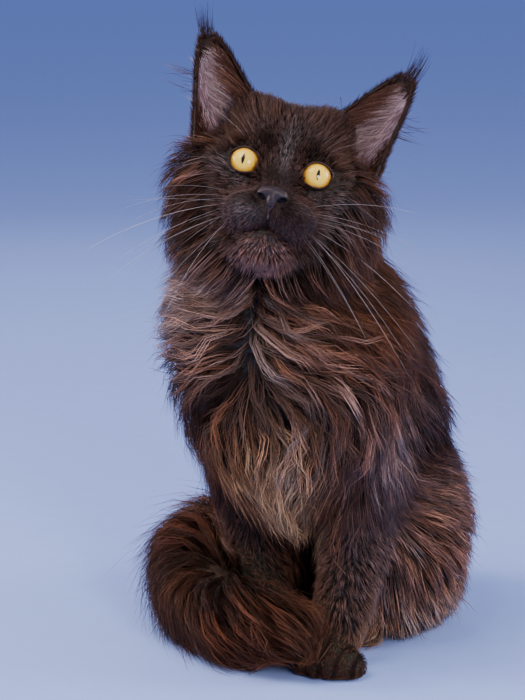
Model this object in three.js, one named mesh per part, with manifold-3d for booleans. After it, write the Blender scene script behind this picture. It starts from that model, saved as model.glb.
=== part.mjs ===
// A young Maine Coon cat, life size, sitting with its head turned and its tail curled round its forepaws.
// Millimetres, +Z up. The cat's body faces -Y, its left side is +X, and it sits on the floor at Z = 0.
import * as THREE from "three";
import { mergeVertices } from "three/addons/utils/BufferGeometryUtils.js";
import Module from "manifold-3d";

const wasm = await Module();
wasm.setup();

// Head
const EYE_LEVEL = 368;
const EYES_ASIDE = 12.7;
const EYES_AHEAD = -29;
const EYE_SPACING = 51;
const EYEBALL_RADIUS = 11.8;
const LID_THICKNESS = 3.8;
const HEAD_TURN = 26.5;
const HEAD_TIP_UP = 21.5;
const HEAD_ROLL = 12.5;
const EAR_WIDTH = 59;
const EAR_DEPTH = 22;
const EAR_WALL = 2.6;

// Coat: its depth from skin to tips, and its locks
const COAT = { face: 5, cheek: 33, neck: 26, chest: 30, back: 22, haunch: 18, leg: 7, paw: 3.5 };
const CORE_SHARE = 0.48;
const LOCK = { length: 62, width: 25, thickness: 6.5, sunk: 4 };
const CLEAR_OF_FLOOR = 2;

// Between neighbouring parts
const GAP = 0.3;

const deg = THREE.MathUtils.degToRad;
const point = (list) => new THREE.Vector3(...list);
const mix = THREE.MathUtils.lerp;
const ease = THREE.MathUtils.smoothstep;
const bothSides = (make) => [make(-1), make(1)];

function seeded(seed) {
  let state = seed;
  return () => {
    state = (state * 16807) % 2147483647;
    return state / 2147483647;
  };
}

// Fields: each gives a point's distance outside a rounded form
function ellipsoid(centre, radii, lean = [0, 0, 0]) {
  const c = point(centre);
  const turn = new THREE.Quaternion().setFromEuler(new THREE.Euler(...lean.map(deg))).invert();
  const q = new THREE.Vector3();
  return (p) => {
    q.copy(p).sub(c).applyQuaternion(turn);
    const near = Math.hypot(q.x / radii[0], q.y / radii[1], q.z / radii[2]);
    const steep = Math.hypot(q.x / radii[0] ** 2, q.y / radii[1] ** 2, q.z / radii[2] ** 2);
    return steep > 0 ? (near * (near - 1)) / steep : -Math.min(...radii);
  };
}

function bone(from, to, startRadius, endRadius) {
  const a = point(from);
  const ab = point(to).sub(a);
  const q = new THREE.Vector3();
  return (p) => {
    q.copy(p).sub(a);
    const t = THREE.MathUtils.clamp(q.dot(ab) / ab.lengthSq(), 0, 1);
    return q.addScaledVector(ab, -t).length() - mix(startRadius, endRadius, t);
  };
}

function blend(softness, ...fields) {
  return (p) => {
    let low = Infinity;
    for (const field of fields) {
      const d = field(p);
      const near = Math.max(softness - Math.abs(low - d), 0);
      low = low === Infinity ? d : Math.min(low, d) - (near * near) / (4 * softness);
    }
    return low;
  };
}

function outward(field, p) {
  const h = 0.5;
  const at = (x, y, z) => field(new THREE.Vector3(p.x + x, p.y + y, p.z + z));
  return new THREE.Vector3(
    at(h, 0, 0) - at(-h, 0, 0),
    at(0, h, 0) - at(0, -h, 0),
    at(0, 0, h) - at(0, 0, -h),
  ).normalize();
}

// The head's own frame: its origin lies midway between the eyes, and it faces -Y before it turns
const HEAD_PLACE = new THREE.Matrix4().compose(
  new THREE.Vector3(EYES_ASIDE, EYES_AHEAD, EYE_LEVEL),
  new THREE.Quaternion().setFromEuler(
    new THREE.Euler(deg(-HEAD_TIP_UP), deg(HEAD_ROLL), deg(HEAD_TURN), "ZXY"),
  ),
  new THREE.Vector3(1, 1, 1),
);
const INTO_HEAD = HEAD_PLACE.clone().invert();
const onHead = (list) => point(list).applyMatrix4(HEAD_PLACE);
const headWay = (list) => point(list).transformDirection(HEAD_PLACE);
const inHeadFrame = (field) => {
  const q = new THREE.Vector3();
  return (p) => field(q.copy(p).applyMatrix4(INTO_HEAD));
};

// Skin of each region
const headSkin = inHeadFrame(
  blend(
    10,
    ellipsoid([0, 40, 12], [42, 46, 40]),
    ellipsoid([0, 13, 17], [34, 24, 26]),
    ...bothSides((s) => ellipsoid([s * 30, 22, -12], [20, 30, 22])),
    ...bothSides((s) => ellipsoid([s * 22, 20, -38], [20, 28, 22])),
    ellipsoid([0, 12, -44], [24, 28, 18]),
    bone([0, -2, -3], [0, -24, -25], 13, 9.5),
    ...bothSides((s) => ellipsoid([s * 14.5, -21, -37.5], [16.5, 16, 12.5])),
    ellipsoid([0, -25, -37], [10, 11, 10]),
    ellipsoid([0, -15, -56], [14.5, 14, 10.5]),
  ),
);
const noseSkin = inHeadFrame(
  blend(
    3,
    ellipsoid([0, -36, -27], [8.5, 6, 4.5]),
    ellipsoid([0, -35.5, -32], [4.5, 5.5, 5.5]),
    ...bothSides((s) => ellipsoid([s * 6.6, -35, -29], [3.8, 5.2, 3.8])),
  ),
);
const neckSkin = blend(
  20,
  bone([4, 24, 335], [-2, 34, 265], 32, 46),
  bone([2, 32, 335], [2, 54, 270], 26, 40),
);
const CHEST_LEAN = [10, 0, 0];
const SPINE_LEAN = [32, 0, 0];
const chestSkin = blend(
  24,
  ellipsoid([-5, 20, 244], [66, 46, 52], CHEST_LEAN),
  ellipsoid([-4, 16, 192], [52, 38, 50], CHEST_LEAN),
  ellipsoid([0, 12, 150], [19, 24, 42]),
);
const torsoSkin = blend(
  30,
  ellipsoid([2, 58, 216], [60, 54, 84], SPINE_LEAN),
  ellipsoid([2, 100, 144], [62, 56, 78], SPINE_LEAN),
  ellipsoid([6, 134, 78], [60, 60, 70]),
);
const forelegSkin = ({ shoulder, elbow, wrist }) =>
  blend(
    16,
    ellipsoid(shoulder, [20, 38, 58], [-12, 0, 0]),
    bone([shoulder[0], shoulder[1] - 12, shoulder[2] - 26], elbow, 27, 20),
    bone(elbow, wrist, 18, 12.5),
  );
const haunchSkin = ({ hip, knee, heel }) =>
  blend(22, ellipsoid(hip, [30, 56, 66], [-14, 0, 0]), bone(knee, heel, 22, 15));

const TOES = [-1.5, -0.5, 0.5, 1.5];
function pawSkin({ heel, toes, spread }) {
  const ahead = point(toes).sub(point(heel)).setZ(0).normalize();
  const toe = (n) => {
    const back = Math.abs(n) * 4 - 9;
    const side = n * spread;
    return ellipsoid(
      [toes[0] - ahead.y * side - ahead.x * back, toes[1] + ahead.x * side - ahead.y * back, 8],
      [7, 10, 9],
    );
  };
  return blend(5, bone(heel, [toes[0], toes[1], 12], 12.5, 13), ...TOES.map(toe));
}

// How far the coat stands off the skin
const even = (depth) => () => depth;
const headCoat = (p) => {
  const q = p.clone().applyMatrix4(INTO_HEAD);
  const muzzle = 1 - ease(q.y, -22, -8);
  const chin = 1 - ease(q.z, -70, -50);
  const behind = ease(q.y + Math.abs(q.x) * 0.5 - Math.max(0, q.z) * 0.8, 0, 50);
  const low = 1 - ease(q.z, 10, 46);
  return COAT.face - 3.4 * muzzle + 4 * chin + (COAT.cheek - COAT.face) * behind * low;
};

// A region's two faces: its core's, and the one its coat's tips reach
const coated = (skin, depth, share = () => CORE_SHARE) => ({
  core: (p) => skin(p) - depth(p) * share(depth(p)),
  tips: (p) => skin(p) - depth(p),
});
const short = () => 1;
const longOnly = (depth) => mix(1, CORE_SHARE, ease(depth, COAT.leg + 1, COAT.leg + 7));

// The surface of a field, followed outwards from a line inside it, with round ends
const SEARCH_STEP = 2;
const SEARCH_END = 220;

function reachOut(field, grow, from, way) {
  const at = (t) => from.clone().addScaledVector(way, t);
  const outside = (t) => field(at(t)) > grow;
  let far = SEARCH_STEP;
  while (far < SEARCH_END && !outside(far)) far += SEARCH_STEP;
  let near = far - SEARCH_STEP;
  for (let i = 0; i < 12; i++) {
    const middle = (near + far) / 2;
    if (outside(middle)) far = middle;
    else near = middle;
  }
  return at((near + far) / 2);
}

function frameAt(curve, s, up) {
  const along = curve.getTangentAt(s);
  const first = point(up).addScaledVector(along, -along.dot(point(up))).normalize();
  return { centre: curve.getPointAt(s), along, first, second: along.clone().cross(first) };
}

const spoke = (frame, turn, tilt) =>
  new THREE.Vector3()
    .addScaledVector(frame.first, Math.cos(turn) * Math.cos(tilt))
    .addScaledVector(frame.second, Math.sin(turn) * Math.cos(tilt))
    .addScaledVector(frame.along, Math.sin(tilt));

function* ringPlaces(along, [before, after]) {
  for (let k = before; k > 0; k--) yield [0, ((-k / (before + 1)) * Math.PI) / 2];
  for (let k = 0; k <= along; k++) yield [k / along, 0];
  for (let k = 1; k <= after; k++) yield [1, ((k / (after + 1)) * Math.PI) / 2];
}

function wrapped(field, { axis, up, around, along, ends }, grow) {
  const curve = new THREE.CatmullRomCurve3(axis.map(point));
  const rings = [...ringPlaces(along, ends)].map(([s, tilt]) => {
    const frame = frameAt(curve, s, up);
    return Array.from({ length: around }, (_, i) =>
      reachOut(field, grow, frame.centre, spoke(frame, (i / around) * 2 * Math.PI, tilt)),
    );
  });
  const [first, last] = [frameAt(curve, 0, up), frameAt(curve, 1, up)];
  return closedRings(rings, [
    reachOut(field, grow, first.centre, first.along.clone().negate()),
    reachOut(field, grow, last.centre, last.along),
  ]);
}

// A solid from rings of as many points each, with a point to close either end
function closedRings(rings, ends) {
  const around = rings[0].length;
  const points = [...rings.flat(), ...ends];
  const at = (r, i) => r * around + (i % around);
  const start = rings.length * around;
  const last = rings.length - 1;
  const faces = [];
  for (let i = 0; i < around; i++) {
    faces.push(start, at(0, i + 1), at(0, i));
    faces.push(start + 1, at(last, i), at(last, i + 1));
    for (let r = 0; r < last; r++) {
      faces.push(at(r, i), at(r, i + 1), at(r + 1, i + 1));
      faces.push(at(r, i), at(r + 1, i + 1), at(r + 1, i));
    }
  }
  const geometry = new THREE.BufferGeometry();
  geometry.setAttribute("position", new THREE.Float32BufferAttribute(points.flatMap((p) => p.toArray()), 3));
  geometry.setIndex(faces);
  return solid(geometry);
}

// A round rope through points, its radius a function of the share of its length
function rope(points, radiusAt, sides) {
  const curve = new THREE.CatmullRomCurve3(points);
  const count = points.length * 2;
  const ahead = headWay([0, -1, 0]).toArray();
  const rings = Array.from({ length: count + 1 }, (_, k) => {
    const frame = frameAt(curve, k / count, ahead);
    return Array.from({ length: sides }, (_, i) =>
      spoke(frame, (i / sides) * 2 * Math.PI, 0).multiplyScalar(radiusAt(k / count)).add(frame.centre),
    );
  });
  return closedRings(rings, [points[0], points.at(-1)]);
}

function solid(geometry) {
  const bare = new THREE.BufferGeometry();
  bare.setAttribute("position", geometry.getAttribute("position"));
  bare.setIndex(geometry.index);
  const merged = mergeVertices(bare, 1e-4);
  return new wasm.Manifold(
    new wasm.Mesh({
      numProp: 3,
      vertProperties: merged.attributes.position.array,
      triVerts: new Uint32Array(merged.index.array),
    }),
  );
}

const join = (pieces) => pieces.reduce((whole, piece) => whole.add(piece));
const without = (whole, cuts) => cuts.reduce((left, cut) => left.subtract(cut), whole);
const largest = (shape) => shape.decompose().reduce((a, b) => (b.volume() > a.volume() ? b : a));

// Locks: flat and pointed, their roots sunk in the core and their tips at the coat's outer face
const LOCK_STATIONS = [
  { s: 0, wide: 0.7, thick: 1 },
  { s: 0.42, wide: 1, thick: 1 },
  { s: 0.78, wide: 0.66, thick: 0.6 },
];

const RIDGE_SHARE = 0.6;

// A three-sided lock along a path, its ridge outwards. Its edges and tip are sharp, so to move every
// face out by the same amount they go out several times as far
const EDGE_GROWTH = 5;
const TIP_GROWTH = 6;
function lockAlong(path, outAt, { width, thickness }, grow) {
  const curve = new THREE.CatmullRomCurve3(path);
  const rings = LOCK_STATIONS.map(({ s, wide, thick }) => {
    const at = curve.getPoint(s);
    const along = curve.getTangent(s);
    const out = outAt(at);
    out.addScaledVector(along, -out.dot(along)).normalize();
    const side = along.clone().cross(out);
    const half = (width * wide) / 2 + EDGE_GROWTH * grow;
    const ridge = thickness * thick * RIDGE_SHARE + 1.1 * grow;
    const below = thickness * thick * (1 - RIDGE_SHARE) + grow;
    return [
      at.clone().addScaledVector(out, ridge),
      at.clone().addScaledVector(side, half).addScaledVector(out, -below),
      at.clone().addScaledVector(side, -half).addScaledVector(out, -below),
    ];
  });
  const root = curve.getPoint(0).addScaledVector(curve.getTangent(0), -1 - grow);
  const tip = curve.getPoint(1).addScaledVector(curve.getTangent(1), TIP_GROWTH * grow);
  return closedRings(rings, [root, tip]);
}

// The path of a lock over a face, from its sunk root to its tip
const PATH_STEPS = 12;
const PROUD = 1.5;
function lockPath({ root, length, sway }, face, lie) {
  const p = root.clone().addScaledVector(outward(face, root), -LOCK.sunk);
  const deepest = face(p);
  const path = [p.clone()];
  for (let k = 1; k <= PATH_STEPS; k++) {
    const s = k / PATH_STEPS;
    const out = outward(face, p);
    const way = lie(p).normalize();
    way.addScaledVector(out, -way.dot(out)).normalize();
    p.addScaledVector(way, length / PATH_STEPS);
    p.addScaledVector(out.clone().cross(way), (sway * length * Math.cos(s * 4)) / PATH_STEPS);
    p.addScaledVector(outward(face, p), mix(deepest, PROUD, s ** 0.75) - face(p));
    p.z = Math.max(p.z, CLEAR_OF_FLOOR + LOCK.thickness * (1 - s));
    path.push(p.clone());
  }
  return path;
}

// Rows of roots round a region's axis, each row half a lock aside of the last
function lockRoots(core, { axis, up }, { seed, rows, across, where }) {
  const chance = seeded(seed);
  const vary = (amount) => 1 + amount * (2 * chance() - 1);
  const curve = new THREE.CatmullRomCurve3(axis.map(point));
  return rows.flatMap(([s, tilt], row) => {
    const frame = frameAt(curve, s, up);
    const reach = (turn) => reachOut(core, 0, frame.centre, spoke(frame, turn, tilt));
    const hoop = Array.from({ length: 12 }, (_, i) => reach((i * Math.PI) / 6));
    const girth = hoop.reduce((sum, p, i) => sum + p.distanceTo(hoop[(i + 1) % 12]), 0);
    const count = Math.max(3, Math.round(girth / across));
    return Array.from({ length: count }, (_, i) => ({
      root: reach(((i + (row % 2) / 2 + vary(0.15) - 1) / count) * 2 * Math.PI),
      long: vary(0.15),
      wide: vary(0.12),
      aside: vary(1) - 1,
    })).filter(({ root }) => where(root));
  });
}

// A lock that folds over itself where the body bends sharply isn't inside its own grown form, and is
// made shorter until it is
const SHORTER = [1, 0.8, 0.6];
const unfolded = (lock) => lock(0).subtract(lock(GAP)).volume() < 0.001;

// A region's solid core, and its locks as functions of how much they are grown
function region({ faces, locks, ...shape }) {
  const base = (grow) => wrapped(faces.core, shape, grow);
  if (!locks) return { base, locks: [] };
  const { length = LOCK.length, width = LOCK.width, sway = 0.3, over, lie } = locks;
  const others = over().filter((other) => other !== faces);
  const face = blend(10, ...over().map(({ tips }) => tips));
  const out = (p) => outward(face, p);
  const open = ({ root }) => others.every(({ core }) => core(root) > 0);
  const laid = ({ root, long, wide, aside }, share) => {
    const path = lockPath({ root, length: length * long * share, sway: sway * aside }, face, lie);
    const size = { width: width * wide, thickness: LOCK.thickness };
    return (grow) => lockAlong(path, out, size, grow);
  };
  const roots = lockRoots(faces.core, shape, locks).filter(open);
  const made = roots.map((root) => SHORTER.map((share) => laid(root, share)).find(unfolded));
  return { base, locks: made.filter(Boolean) };
}

// Ear: a cup of crescent sections that narrow to the tip and open forwards, in the head's frame
const ARC = 7;
const EAR_LEVELS = 7;
const EAR_SUNK = 14;
function earFrame(side) {
  const root = point([side * 47, 31, 36]);
  const tip = point([side * 73, 30, 92]);
  const rise = tip.clone().sub(root).normalize();
  const back = new THREE.Vector3(side * 0.12, 1, 0);
  back.addScaledVector(rise, -back.dot(rise)).normalize();
  const across = rise.clone().cross(back).normalize();
  const place = (t, turn, inset, grow = 0) => {
    const half = (EAR_WIDTH / 2) * (1 - t * 0.97) ** 0.6 * (1 - 0.1 * Math.sin(t * 3)) + grow;
    const deep = EAR_DEPTH * (1 - t * 0.95) ** 0.8 + 2 + grow;
    return root
      .clone()
      .addScaledVector(rise, (tip.distanceTo(root) + EAR_SUNK) * t - EAR_SUNK)
      .addScaledVector(across, Math.sin(turn) * Math.max(0.4, half - inset))
      .addScaledVector(back, Math.cos(turn) * Math.max(0.4, deep - inset) - deep * 0.4);
  };
  return { tip, rise, back, across, place };
}

function earCup(side, grow) {
  const { place } = earFrame(side);
  const rings = Array.from({ length: EAR_LEVELS + 1 }, (_, k) => {
    const t = k / EAR_LEVELS;
    const wall = EAR_WALL * (1 - 0.4 * t) + 2 * grow;
    const open = deg(105 - 25 * t);
    const turns = Array.from({ length: ARC + 1 }, (_, i) => open * ((2 * i) / ARC - 1));
    const outer = turns.map((turn) => place(t, turn, 0, grow));
    const inner = turns.reverse().map((turn) => place(t, turn, wall, grow));
    return [...outer, ...inner].map((p) => p.applyMatrix4(HEAD_PLACE));
  });
  const middle = (ring) => ring[3].clone().lerp(ring[12], 0.5);
  return closedRings(rings, [middle(rings[0]), middle(rings[EAR_LEVELS])]);
}

// Ear hair: tufts that carry the tip on, and furnishings from the inner edge across the cup
const EAR_TUFTS = [
  { aside: -0.14, ahead: 0.1, length: 27 },
  { aside: 0.12, ahead: -0.05, length: 31 },
];
const FURNISHINGS = [
  { t: 0.3, length: 38 },
  { t: 0.45, length: 36 },
  { t: 0.6, length: 30 },
];
const TUFT_SECTION = { width: 9, thickness: 4 };
const HAIR_SECTION = { width: 9, thickness: 2.6 };
function earLocks(side) {
  const { rise, back, across, place } = earFrame(side);
  const inwards = across.clone().multiplyScalar(side);
  const bent = (from, way, length, bow) =>
    [0, 0.35, 0.7, 1].map((s) =>
      from
        .clone()
        .addScaledVector(way, length * s)
        .addScaledVector(back, -bow * Math.sin(s * 2.6))
        .applyMatrix4(HEAD_PLACE),
    );
  const ahead = () => back.clone().negate().transformDirection(HEAD_PLACE);
  const tufts = EAR_TUFTS.map(({ aside, ahead: lean, length }) => {
    const way = rise.clone().addScaledVector(inwards, aside).addScaledVector(back, lean).normalize();
    const path = bent(place(0.86, 0, 1), way, length, 0);
    return (grow) => lockAlong(path, ahead, TUFT_SECTION, grow);
  });
  const hairs = FURNISHINGS.map(({ t, length }) => {
    const way = rise.clone().multiplyScalar(0.8).addScaledVector(inwards, -0.62).normalize();
    const from = place(t, side * deg(90 - 12 * t), EAR_WALL / 2).addScaledVector(way, -1);
    const path = bent(from, way, length, 3.5);
    return (grow) => lockAlong(path, ahead, HAIR_SECTION, grow);
  });
  return [...tufts, ...hairs];
}

// Eye: a ball behind an almond opening that a lid rims
const eyePlace = (side) =>
  HEAD_PLACE.clone()
    .multiply(new THREE.Matrix4().makeTranslation((side * EYE_SPACING) / 2, 0.5, 0))
    .multiply(new THREE.Matrix4().makeRotationZ(deg(side * 9)));

const eyeBall = (side, grow) =>
  solid(new THREE.SphereGeometry(EYEBALL_RADIUS + grow, 12, 8).applyMatrix4(eyePlace(side)));

const almond = (side, turn) => {
  const outer = Math.max(0, Math.cos(turn)) ** 5;
  const inner = Math.max(0, -Math.cos(turn)) ** 5;
  return [
    side * (9.9 * Math.cos(turn) + 0.9 * outer - 2.2 * inner),
    8.7 * Math.sin(turn) + 1.6 * outer - 3.2 * inner,
  ];
};

const ALMOND_POINTS = 16;
function eyeOpening(side) {
  const place = eyePlace(side);
  const sections = [
    { y: 0, wide: 0.8 },
    { y: -7, wide: 1 },
    { y: -12, wide: 1.15 },
    { y: -30, wide: 2.6 },
  ];
  const rings = sections.map(({ y, wide }) =>
    Array.from({ length: ALMOND_POINTS }, (_, i) => {
      const [x, z] = almond(side, (side * i * 2 * Math.PI) / ALMOND_POINTS);
      return new THREE.Vector3(x * wide, y, z * wide).applyMatrix4(place);
    }),
  );
  const ends = [sections[0], sections.at(-1)].map(({ y }) => new THREE.Vector3(0, y, 0).applyMatrix4(place));
  return closedRings(rings, ends);
}

function lid(side, grow) {
  const place = eyePlace(side);
  const rim = Array.from({ length: ALMOND_POINTS }, (_, i) => {
    const [x, z] = almond(side, (i * 2 * Math.PI) / ALMOND_POINTS);
    const y = -Math.sqrt(Math.max(12, (EYEBALL_RADIUS + 1.4) ** 2 - x * x - z * z));
    return new THREE.Vector3(x * 1.08, y, z * 1.08).applyMatrix4(place);
  });
  const curve = new THREE.CatmullRomCurve3(rim, true);
  return solid(new THREE.TubeGeometry(curve, ALMOND_POINTS, LID_THICKNESS / 2 + grow, 4, true));
}

// Layers of each region
const BODY = {
  head: coated(headSkin, headCoat, longOnly),
  neck: coated(neckSkin, even(COAT.neck)),
  chest: coated(chestSkin, even(COAT.chest)),
  torso: coated(torsoSkin, even(COAT.back)),
};
const LIMBS = [
  {
    side: "right",
    leg: { shoulder: [-42, 30, 212], elbow: [-54, 46, 130], wrist: [-37, 42, 38] },
    forepaw: { heel: [-37, 42, 22], toes: [-35, 18, 12], spread: 9 },
    thigh: { hip: [-42, 104, 76], knee: [-50, 68, 66], heel: [-52, 140, 26] },
    hindpaw: { heel: [-52, 132, 16], toes: [-50, 58, 12], spread: 8.6 },
  },
  {
    side: "left",
    leg: { shoulder: [42, 26, 214], elbow: [44, 50, 132], wrist: [40, 18, 38] },
    forepaw: { heel: [40, 18, 22], toes: [42, -10, 12], spread: 9.2 },
    thigh: { hip: [50, 100, 78], knee: [54, 64, 66], heel: [52, 136, 28] },
    hindpaw: { heel: [48, 136, 16], toes: [29, 66, 12], spread: 8.6 },
  },
];
for (const limb of LIMBS) {
  limb.legFaces = coated(forelegSkin(limb.leg), even(COAT.leg), short);
  limb.thighFaces = coated(haunchSkin(limb.thigh), even(COAT.haunch));
}
const wholeBody = () => [
  ...Object.values(BODY),
  ...LIMBS.flatMap((limb) => [limb.legFaces, limb.thighFaces]),
];

// Mouth: its line below the upper lip, the groove up to the nose and the lower lip's edge
const onFace = (x, z) => reachOut(BODY.head.core, 0, onHead([x * 0.4, 4, z]), headWay([x * 0.018, -1, 0]));
const MOUTH_X = [-21, -13, -6, 0, 6, 13, 21];
const mouthLine = () => MOUTH_X.map((x) => onFace(x, -47.5 - Math.abs(x) * 0.3));
const GROOVE_Z = [-37, -42, -48];

function headBase(form, grow) {
  const lids = bothSides((side) => lid(side, grow));
  if (grow) return join([form.base(grow), ...lids]);
  const below = headWay([0, 0.42, -0.9]);
  const lip = rope(mouthLine().map((p) => p.addScaledVector(below, 2.9)), () => 2.2, 5);
  const cuts = [
    ...bothSides(eyeOpening),
    rope(mouthLine(), (t) => 0.8 + Math.sin(t * Math.PI), 5),
    rope(GROOVE_Z.map((z) => onFace(0, z)), () => 1.1, 4),
  ];
  return join([without(form.base(0).add(lip), cuts), ...lids]);
}

const nostril = (side) =>
  rope(
    [onHead([side * 3.6, -43, -30]), onHead([side * 6, -41, -31.5]), onHead([side * 10, -38.5, -30.5])],
    (t) => 1.7 - 0.9 * t,
    6,
  );

// Which way the coat lies
const cheekLie = (p) => {
  const q = p.clone().applyMatrix4(INTO_HEAD);
  return headWay([Math.sign(q.x) * 0.6, 0.6, -0.7]);
};
const chestLie = (p) => {
  const low = 1 - ease(p.z, 150, 300);
  const side = THREE.MathUtils.clamp(p.x / 40, -1, 1);
  return new THREE.Vector3(side * mix(1.3, 0.1, low), 0.2 * Math.abs(side), -mix(0.7, 1.1, low));
};
const neckLie = (p) => (p.y < 20 ? chestLie(p) : new THREE.Vector3(p.x * 0.012, 0.4, -0.9));
const backLie = (p) => new THREE.Vector3(p.x * 0.003, 0.45, -0.9);
const haunchLie = (knee) => (p) => {
  const away = p.clone().sub(point(knee)).setX(0).normalize();
  return away.multiplyScalar(0.8).add(new THREE.Vector3(0, 0.3, -0.5));
};

const UP = [0, 0, 1];
const BACK = [0, 1, 0];

const head = region({
  faces: BODY.head,
  axis: [onHead([0, -9, -41]), onHead([0, 6, -24]), onHead([0, 46, 4])].map((p) => p.toArray()),
  up: UP,
  around: 30,
  along: 9,
  ends: [6, 1],
  locks: {
    seed: 11,
    rows: [[0.5, 0], [0.8, 0], [1, 0.3]],
    across: 29,
    length: 52,
    width: 30,
    over: wholeBody,
    lie: cheekLie,
    where: (p) => headCoat(p) > COAT.face + 10,
  },
});
const neck = region({
  faces: BODY.neck,
  axis: [[3, 28, 335], [1, 34, 305], [0, 44, 270]],
  up: BACK,
  around: 12,
  along: 2,
  ends: [1, 1],
  locks: {
    seed: 23,
    rows: [[0.1, 0], [0.6, 0]],
    across: 30,
    width: 30,
    over: wholeBody,
    lie: neckLie,
    where: () => true,
  },
});
const chest = region({
  faces: BODY.chest,
  axis: [[-4, 16, 250], [-3, 16, 195], [0, 15, 140]],
  up: BACK,
  around: 14,
  along: 4,
  ends: [3, 2],
  locks: {
    seed: 37,
    rows: [[0, -0.55], [0.05, 0], [0.36, 0], [0.68, 0], [0.98, 0]],
    across: 29,
    length: 70,
    width: 29,
    over: wholeBody,
    lie: chestLie,
    where: (p) => p.y < 30,
  },
});
const torso = region({
  faces: BODY.torso,
  axis: [[0, 45, 235], [0, 75, 180], [2, 105, 120], [6, 132, 75]],
  up: BACK,
  around: 14,
  along: 4,
  ends: [2, 3],
  locks: {
    seed: 61,
    rows: [[0.1, 0], [0.5, 0], [0.9, 0]],
    across: 38,
    length: 92,
    width: 40,
    over: wholeBody,
    lie: backLie,
    where: (p) => p.z > 18 && p.y > 30,
  },
});

const foreleg = ({ leg: { shoulder, elbow, wrist }, legFaces }) =>
  region({
    faces: legFaces,
    axis: [
      [shoulder[0], shoulder[1] + 3, shoulder[2] + 18],
      [(shoulder[0] + elbow[0]) / 2, 35, 180],
      elbow,
      [(elbow[0] + wrist[0]) / 2, (elbow[1] + wrist[1]) / 2 + 1, 82],
      [wrist[0], wrist[1] + 1, wrist[2] + 4],
    ],
    up: BACK,
    around: 10,
    along: 7,
    ends: [1, 2],
  });

const haunch = ({ thigh, thighFaces }, seed) => {
  const side = Math.sign(thigh.hip[0]);
  return region({
    faces: thighFaces,
    axis: [[side * 40, 85, 100], [side * 42, 105, 60]],
    up: BACK,
    around: 14,
    along: 3,
    ends: [3, 3],
    locks: {
      seed,
      rows: [[0, -0.4], [0.3, 0], [1, 0.1]],
      across: 33,
      length: 62,
      width: 30,
      over: wholeBody,
      lie: haunchLie(thigh.knee),
      where: (p) => p.x * side > 50 && p.z > 14,
    },
  });
};

const paw = ({ heel, toes, spread }) =>
  region({
    faces: coated(pawSkin({ heel, toes, spread }), even(COAT.paw), short),
    axis: [[mix(heel[0], toes[0], 0.15), mix(heel[1], toes[1], 0.15), heel[2]], [toes[0], toes[1] + 2, 13]],
    up: UP,
    around: 12,
    along: 4,
    ends: [1, 3],
  });

// Tail: lengths of one curve, each with its skin's and its coat's radius at its ends
const TAIL = [
  { axis: [[2, 188, 34], [-38, 198, 37], [-82, 172, 39]], skin: [12, 11], coat: [34, 38] },
  { axis: [[-82, 172, 39], [-110, 128, 42], [-110, 80, 44]], skin: [11, 10], coat: [39, 43] },
  { axis: [[-110, 80, 44], [-95, 30, 44], [-66, -6, 39]], skin: [10, 8], coat: [45, 39] },
  { axis: [[-66, -6, 39], [-24, -28, 31], [16, -22, 20]], skin: [8, 5], coat: [37, 19] },
];
const TAIL_STEPS = 8;
const tailForms = TAIL.map(({ axis, skin, coat }) => {
  const curve = new THREE.CatmullRomCurve3(axis.map(point));
  const stops = curve.getSpacedPoints(TAIL_STEPS);
  const end = (share, i) => mix(skin[i], coat[i], share);
  const radius = (share, k) => mix(end(share, 0), end(share, 1), k / TAIL_STEPS);
  const tube = (share) =>
    blend(
      3,
      ...stops
        .slice(1)
        .map((p, k) => bone(stops[k].toArray(), p.toArray(), radius(share, k), radius(share, k + 1))),
    );
  const lie = (p) => {
    const away = stops.map((stop) => stop.distanceTo(p));
    const nearest = away.indexOf(Math.min(...away));
    const out = p.clone().sub(stops[nearest]).normalize();
    return curve.getTangentAt(nearest / TAIL_STEPS).multiplyScalar(0.85).addScaledVector(out, 0.4);
  };
  return { axis, lie, faces: { core: tube(CORE_SHARE), tips: tube(1) } };
});
const tailLength = ({ axis, lie, faces }, index) =>
  region({
    faces,
    axis,
    up: UP,
    around: 10,
    along: 4,
    ends: [2, 2],
    locks: {
      seed: 71 + index,
      rows: [[0.15, 0], [0.7, 0]],
      across: 31,
      length: 62,
      width: 32,
      over: () => tailForms.map((form) => form.faces),
      lie,
      where: (p) => p.z > 16,
    },
  });

const nose = region({
  faces: coated(noseSkin, even(0.4), short),
  axis: [onHead([0, -34, -29]), onHead([0, -37, -29])].map((p) => p.toArray()),
  up: UP,
  around: 12,
  along: 1,
  ends: [2, 3],
});

// The parts in order: each is cut clear of those before it
const SIDE = { right: -1, left: 1 };
const pair = (name, look, make) =>
  LIMBS.map((limb, i) => ({ name: `${name}_${limb.side}`, look, ...make(limb, i) }));
const eye = ({ side }) => ({ base: (grow) => eyeBall(SIDE[side], grow), locks: [] });
const ear = ({ side }) => ({ base: (grow) => earCup(SIDE[side], grow), locks: earLocks(SIDE[side]) });
const TAIL_NAMES = ["tail_base", "tail_middle", "tail_bend", "tail_tip"];
const parts = [
  ...pair("eye", "eye", eye),
  { name: "head", look: "coat", base: (grow) => headBase(head, grow), locks: head.locks },
  { name: "nose", look: "nose", ...nose, cuts: () => bothSides(nostril) },
  ...pair("ear", "coat", ear),
  { name: "neck", look: "coat", ...neck },
  { name: "chest", look: "coat", ...chest },
  ...pair("haunch", "coat", (limb, i) => haunch(limb, 41 + i)),
  ...pair("foreleg", "coat", foreleg),
  { name: "torso", look: "coat", ...torso },
  ...pair("forepaw", "coat", ({ forepaw }) => paw(forepaw)),
  ...pair("hindpaw", "coat", ({ hindpaw }) => paw(hindpaw)),
  ...tailForms.map((form, i) => ({ name: TAIL_NAMES[i], look: "coat", ...tailLength(form, i) })),
];

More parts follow.
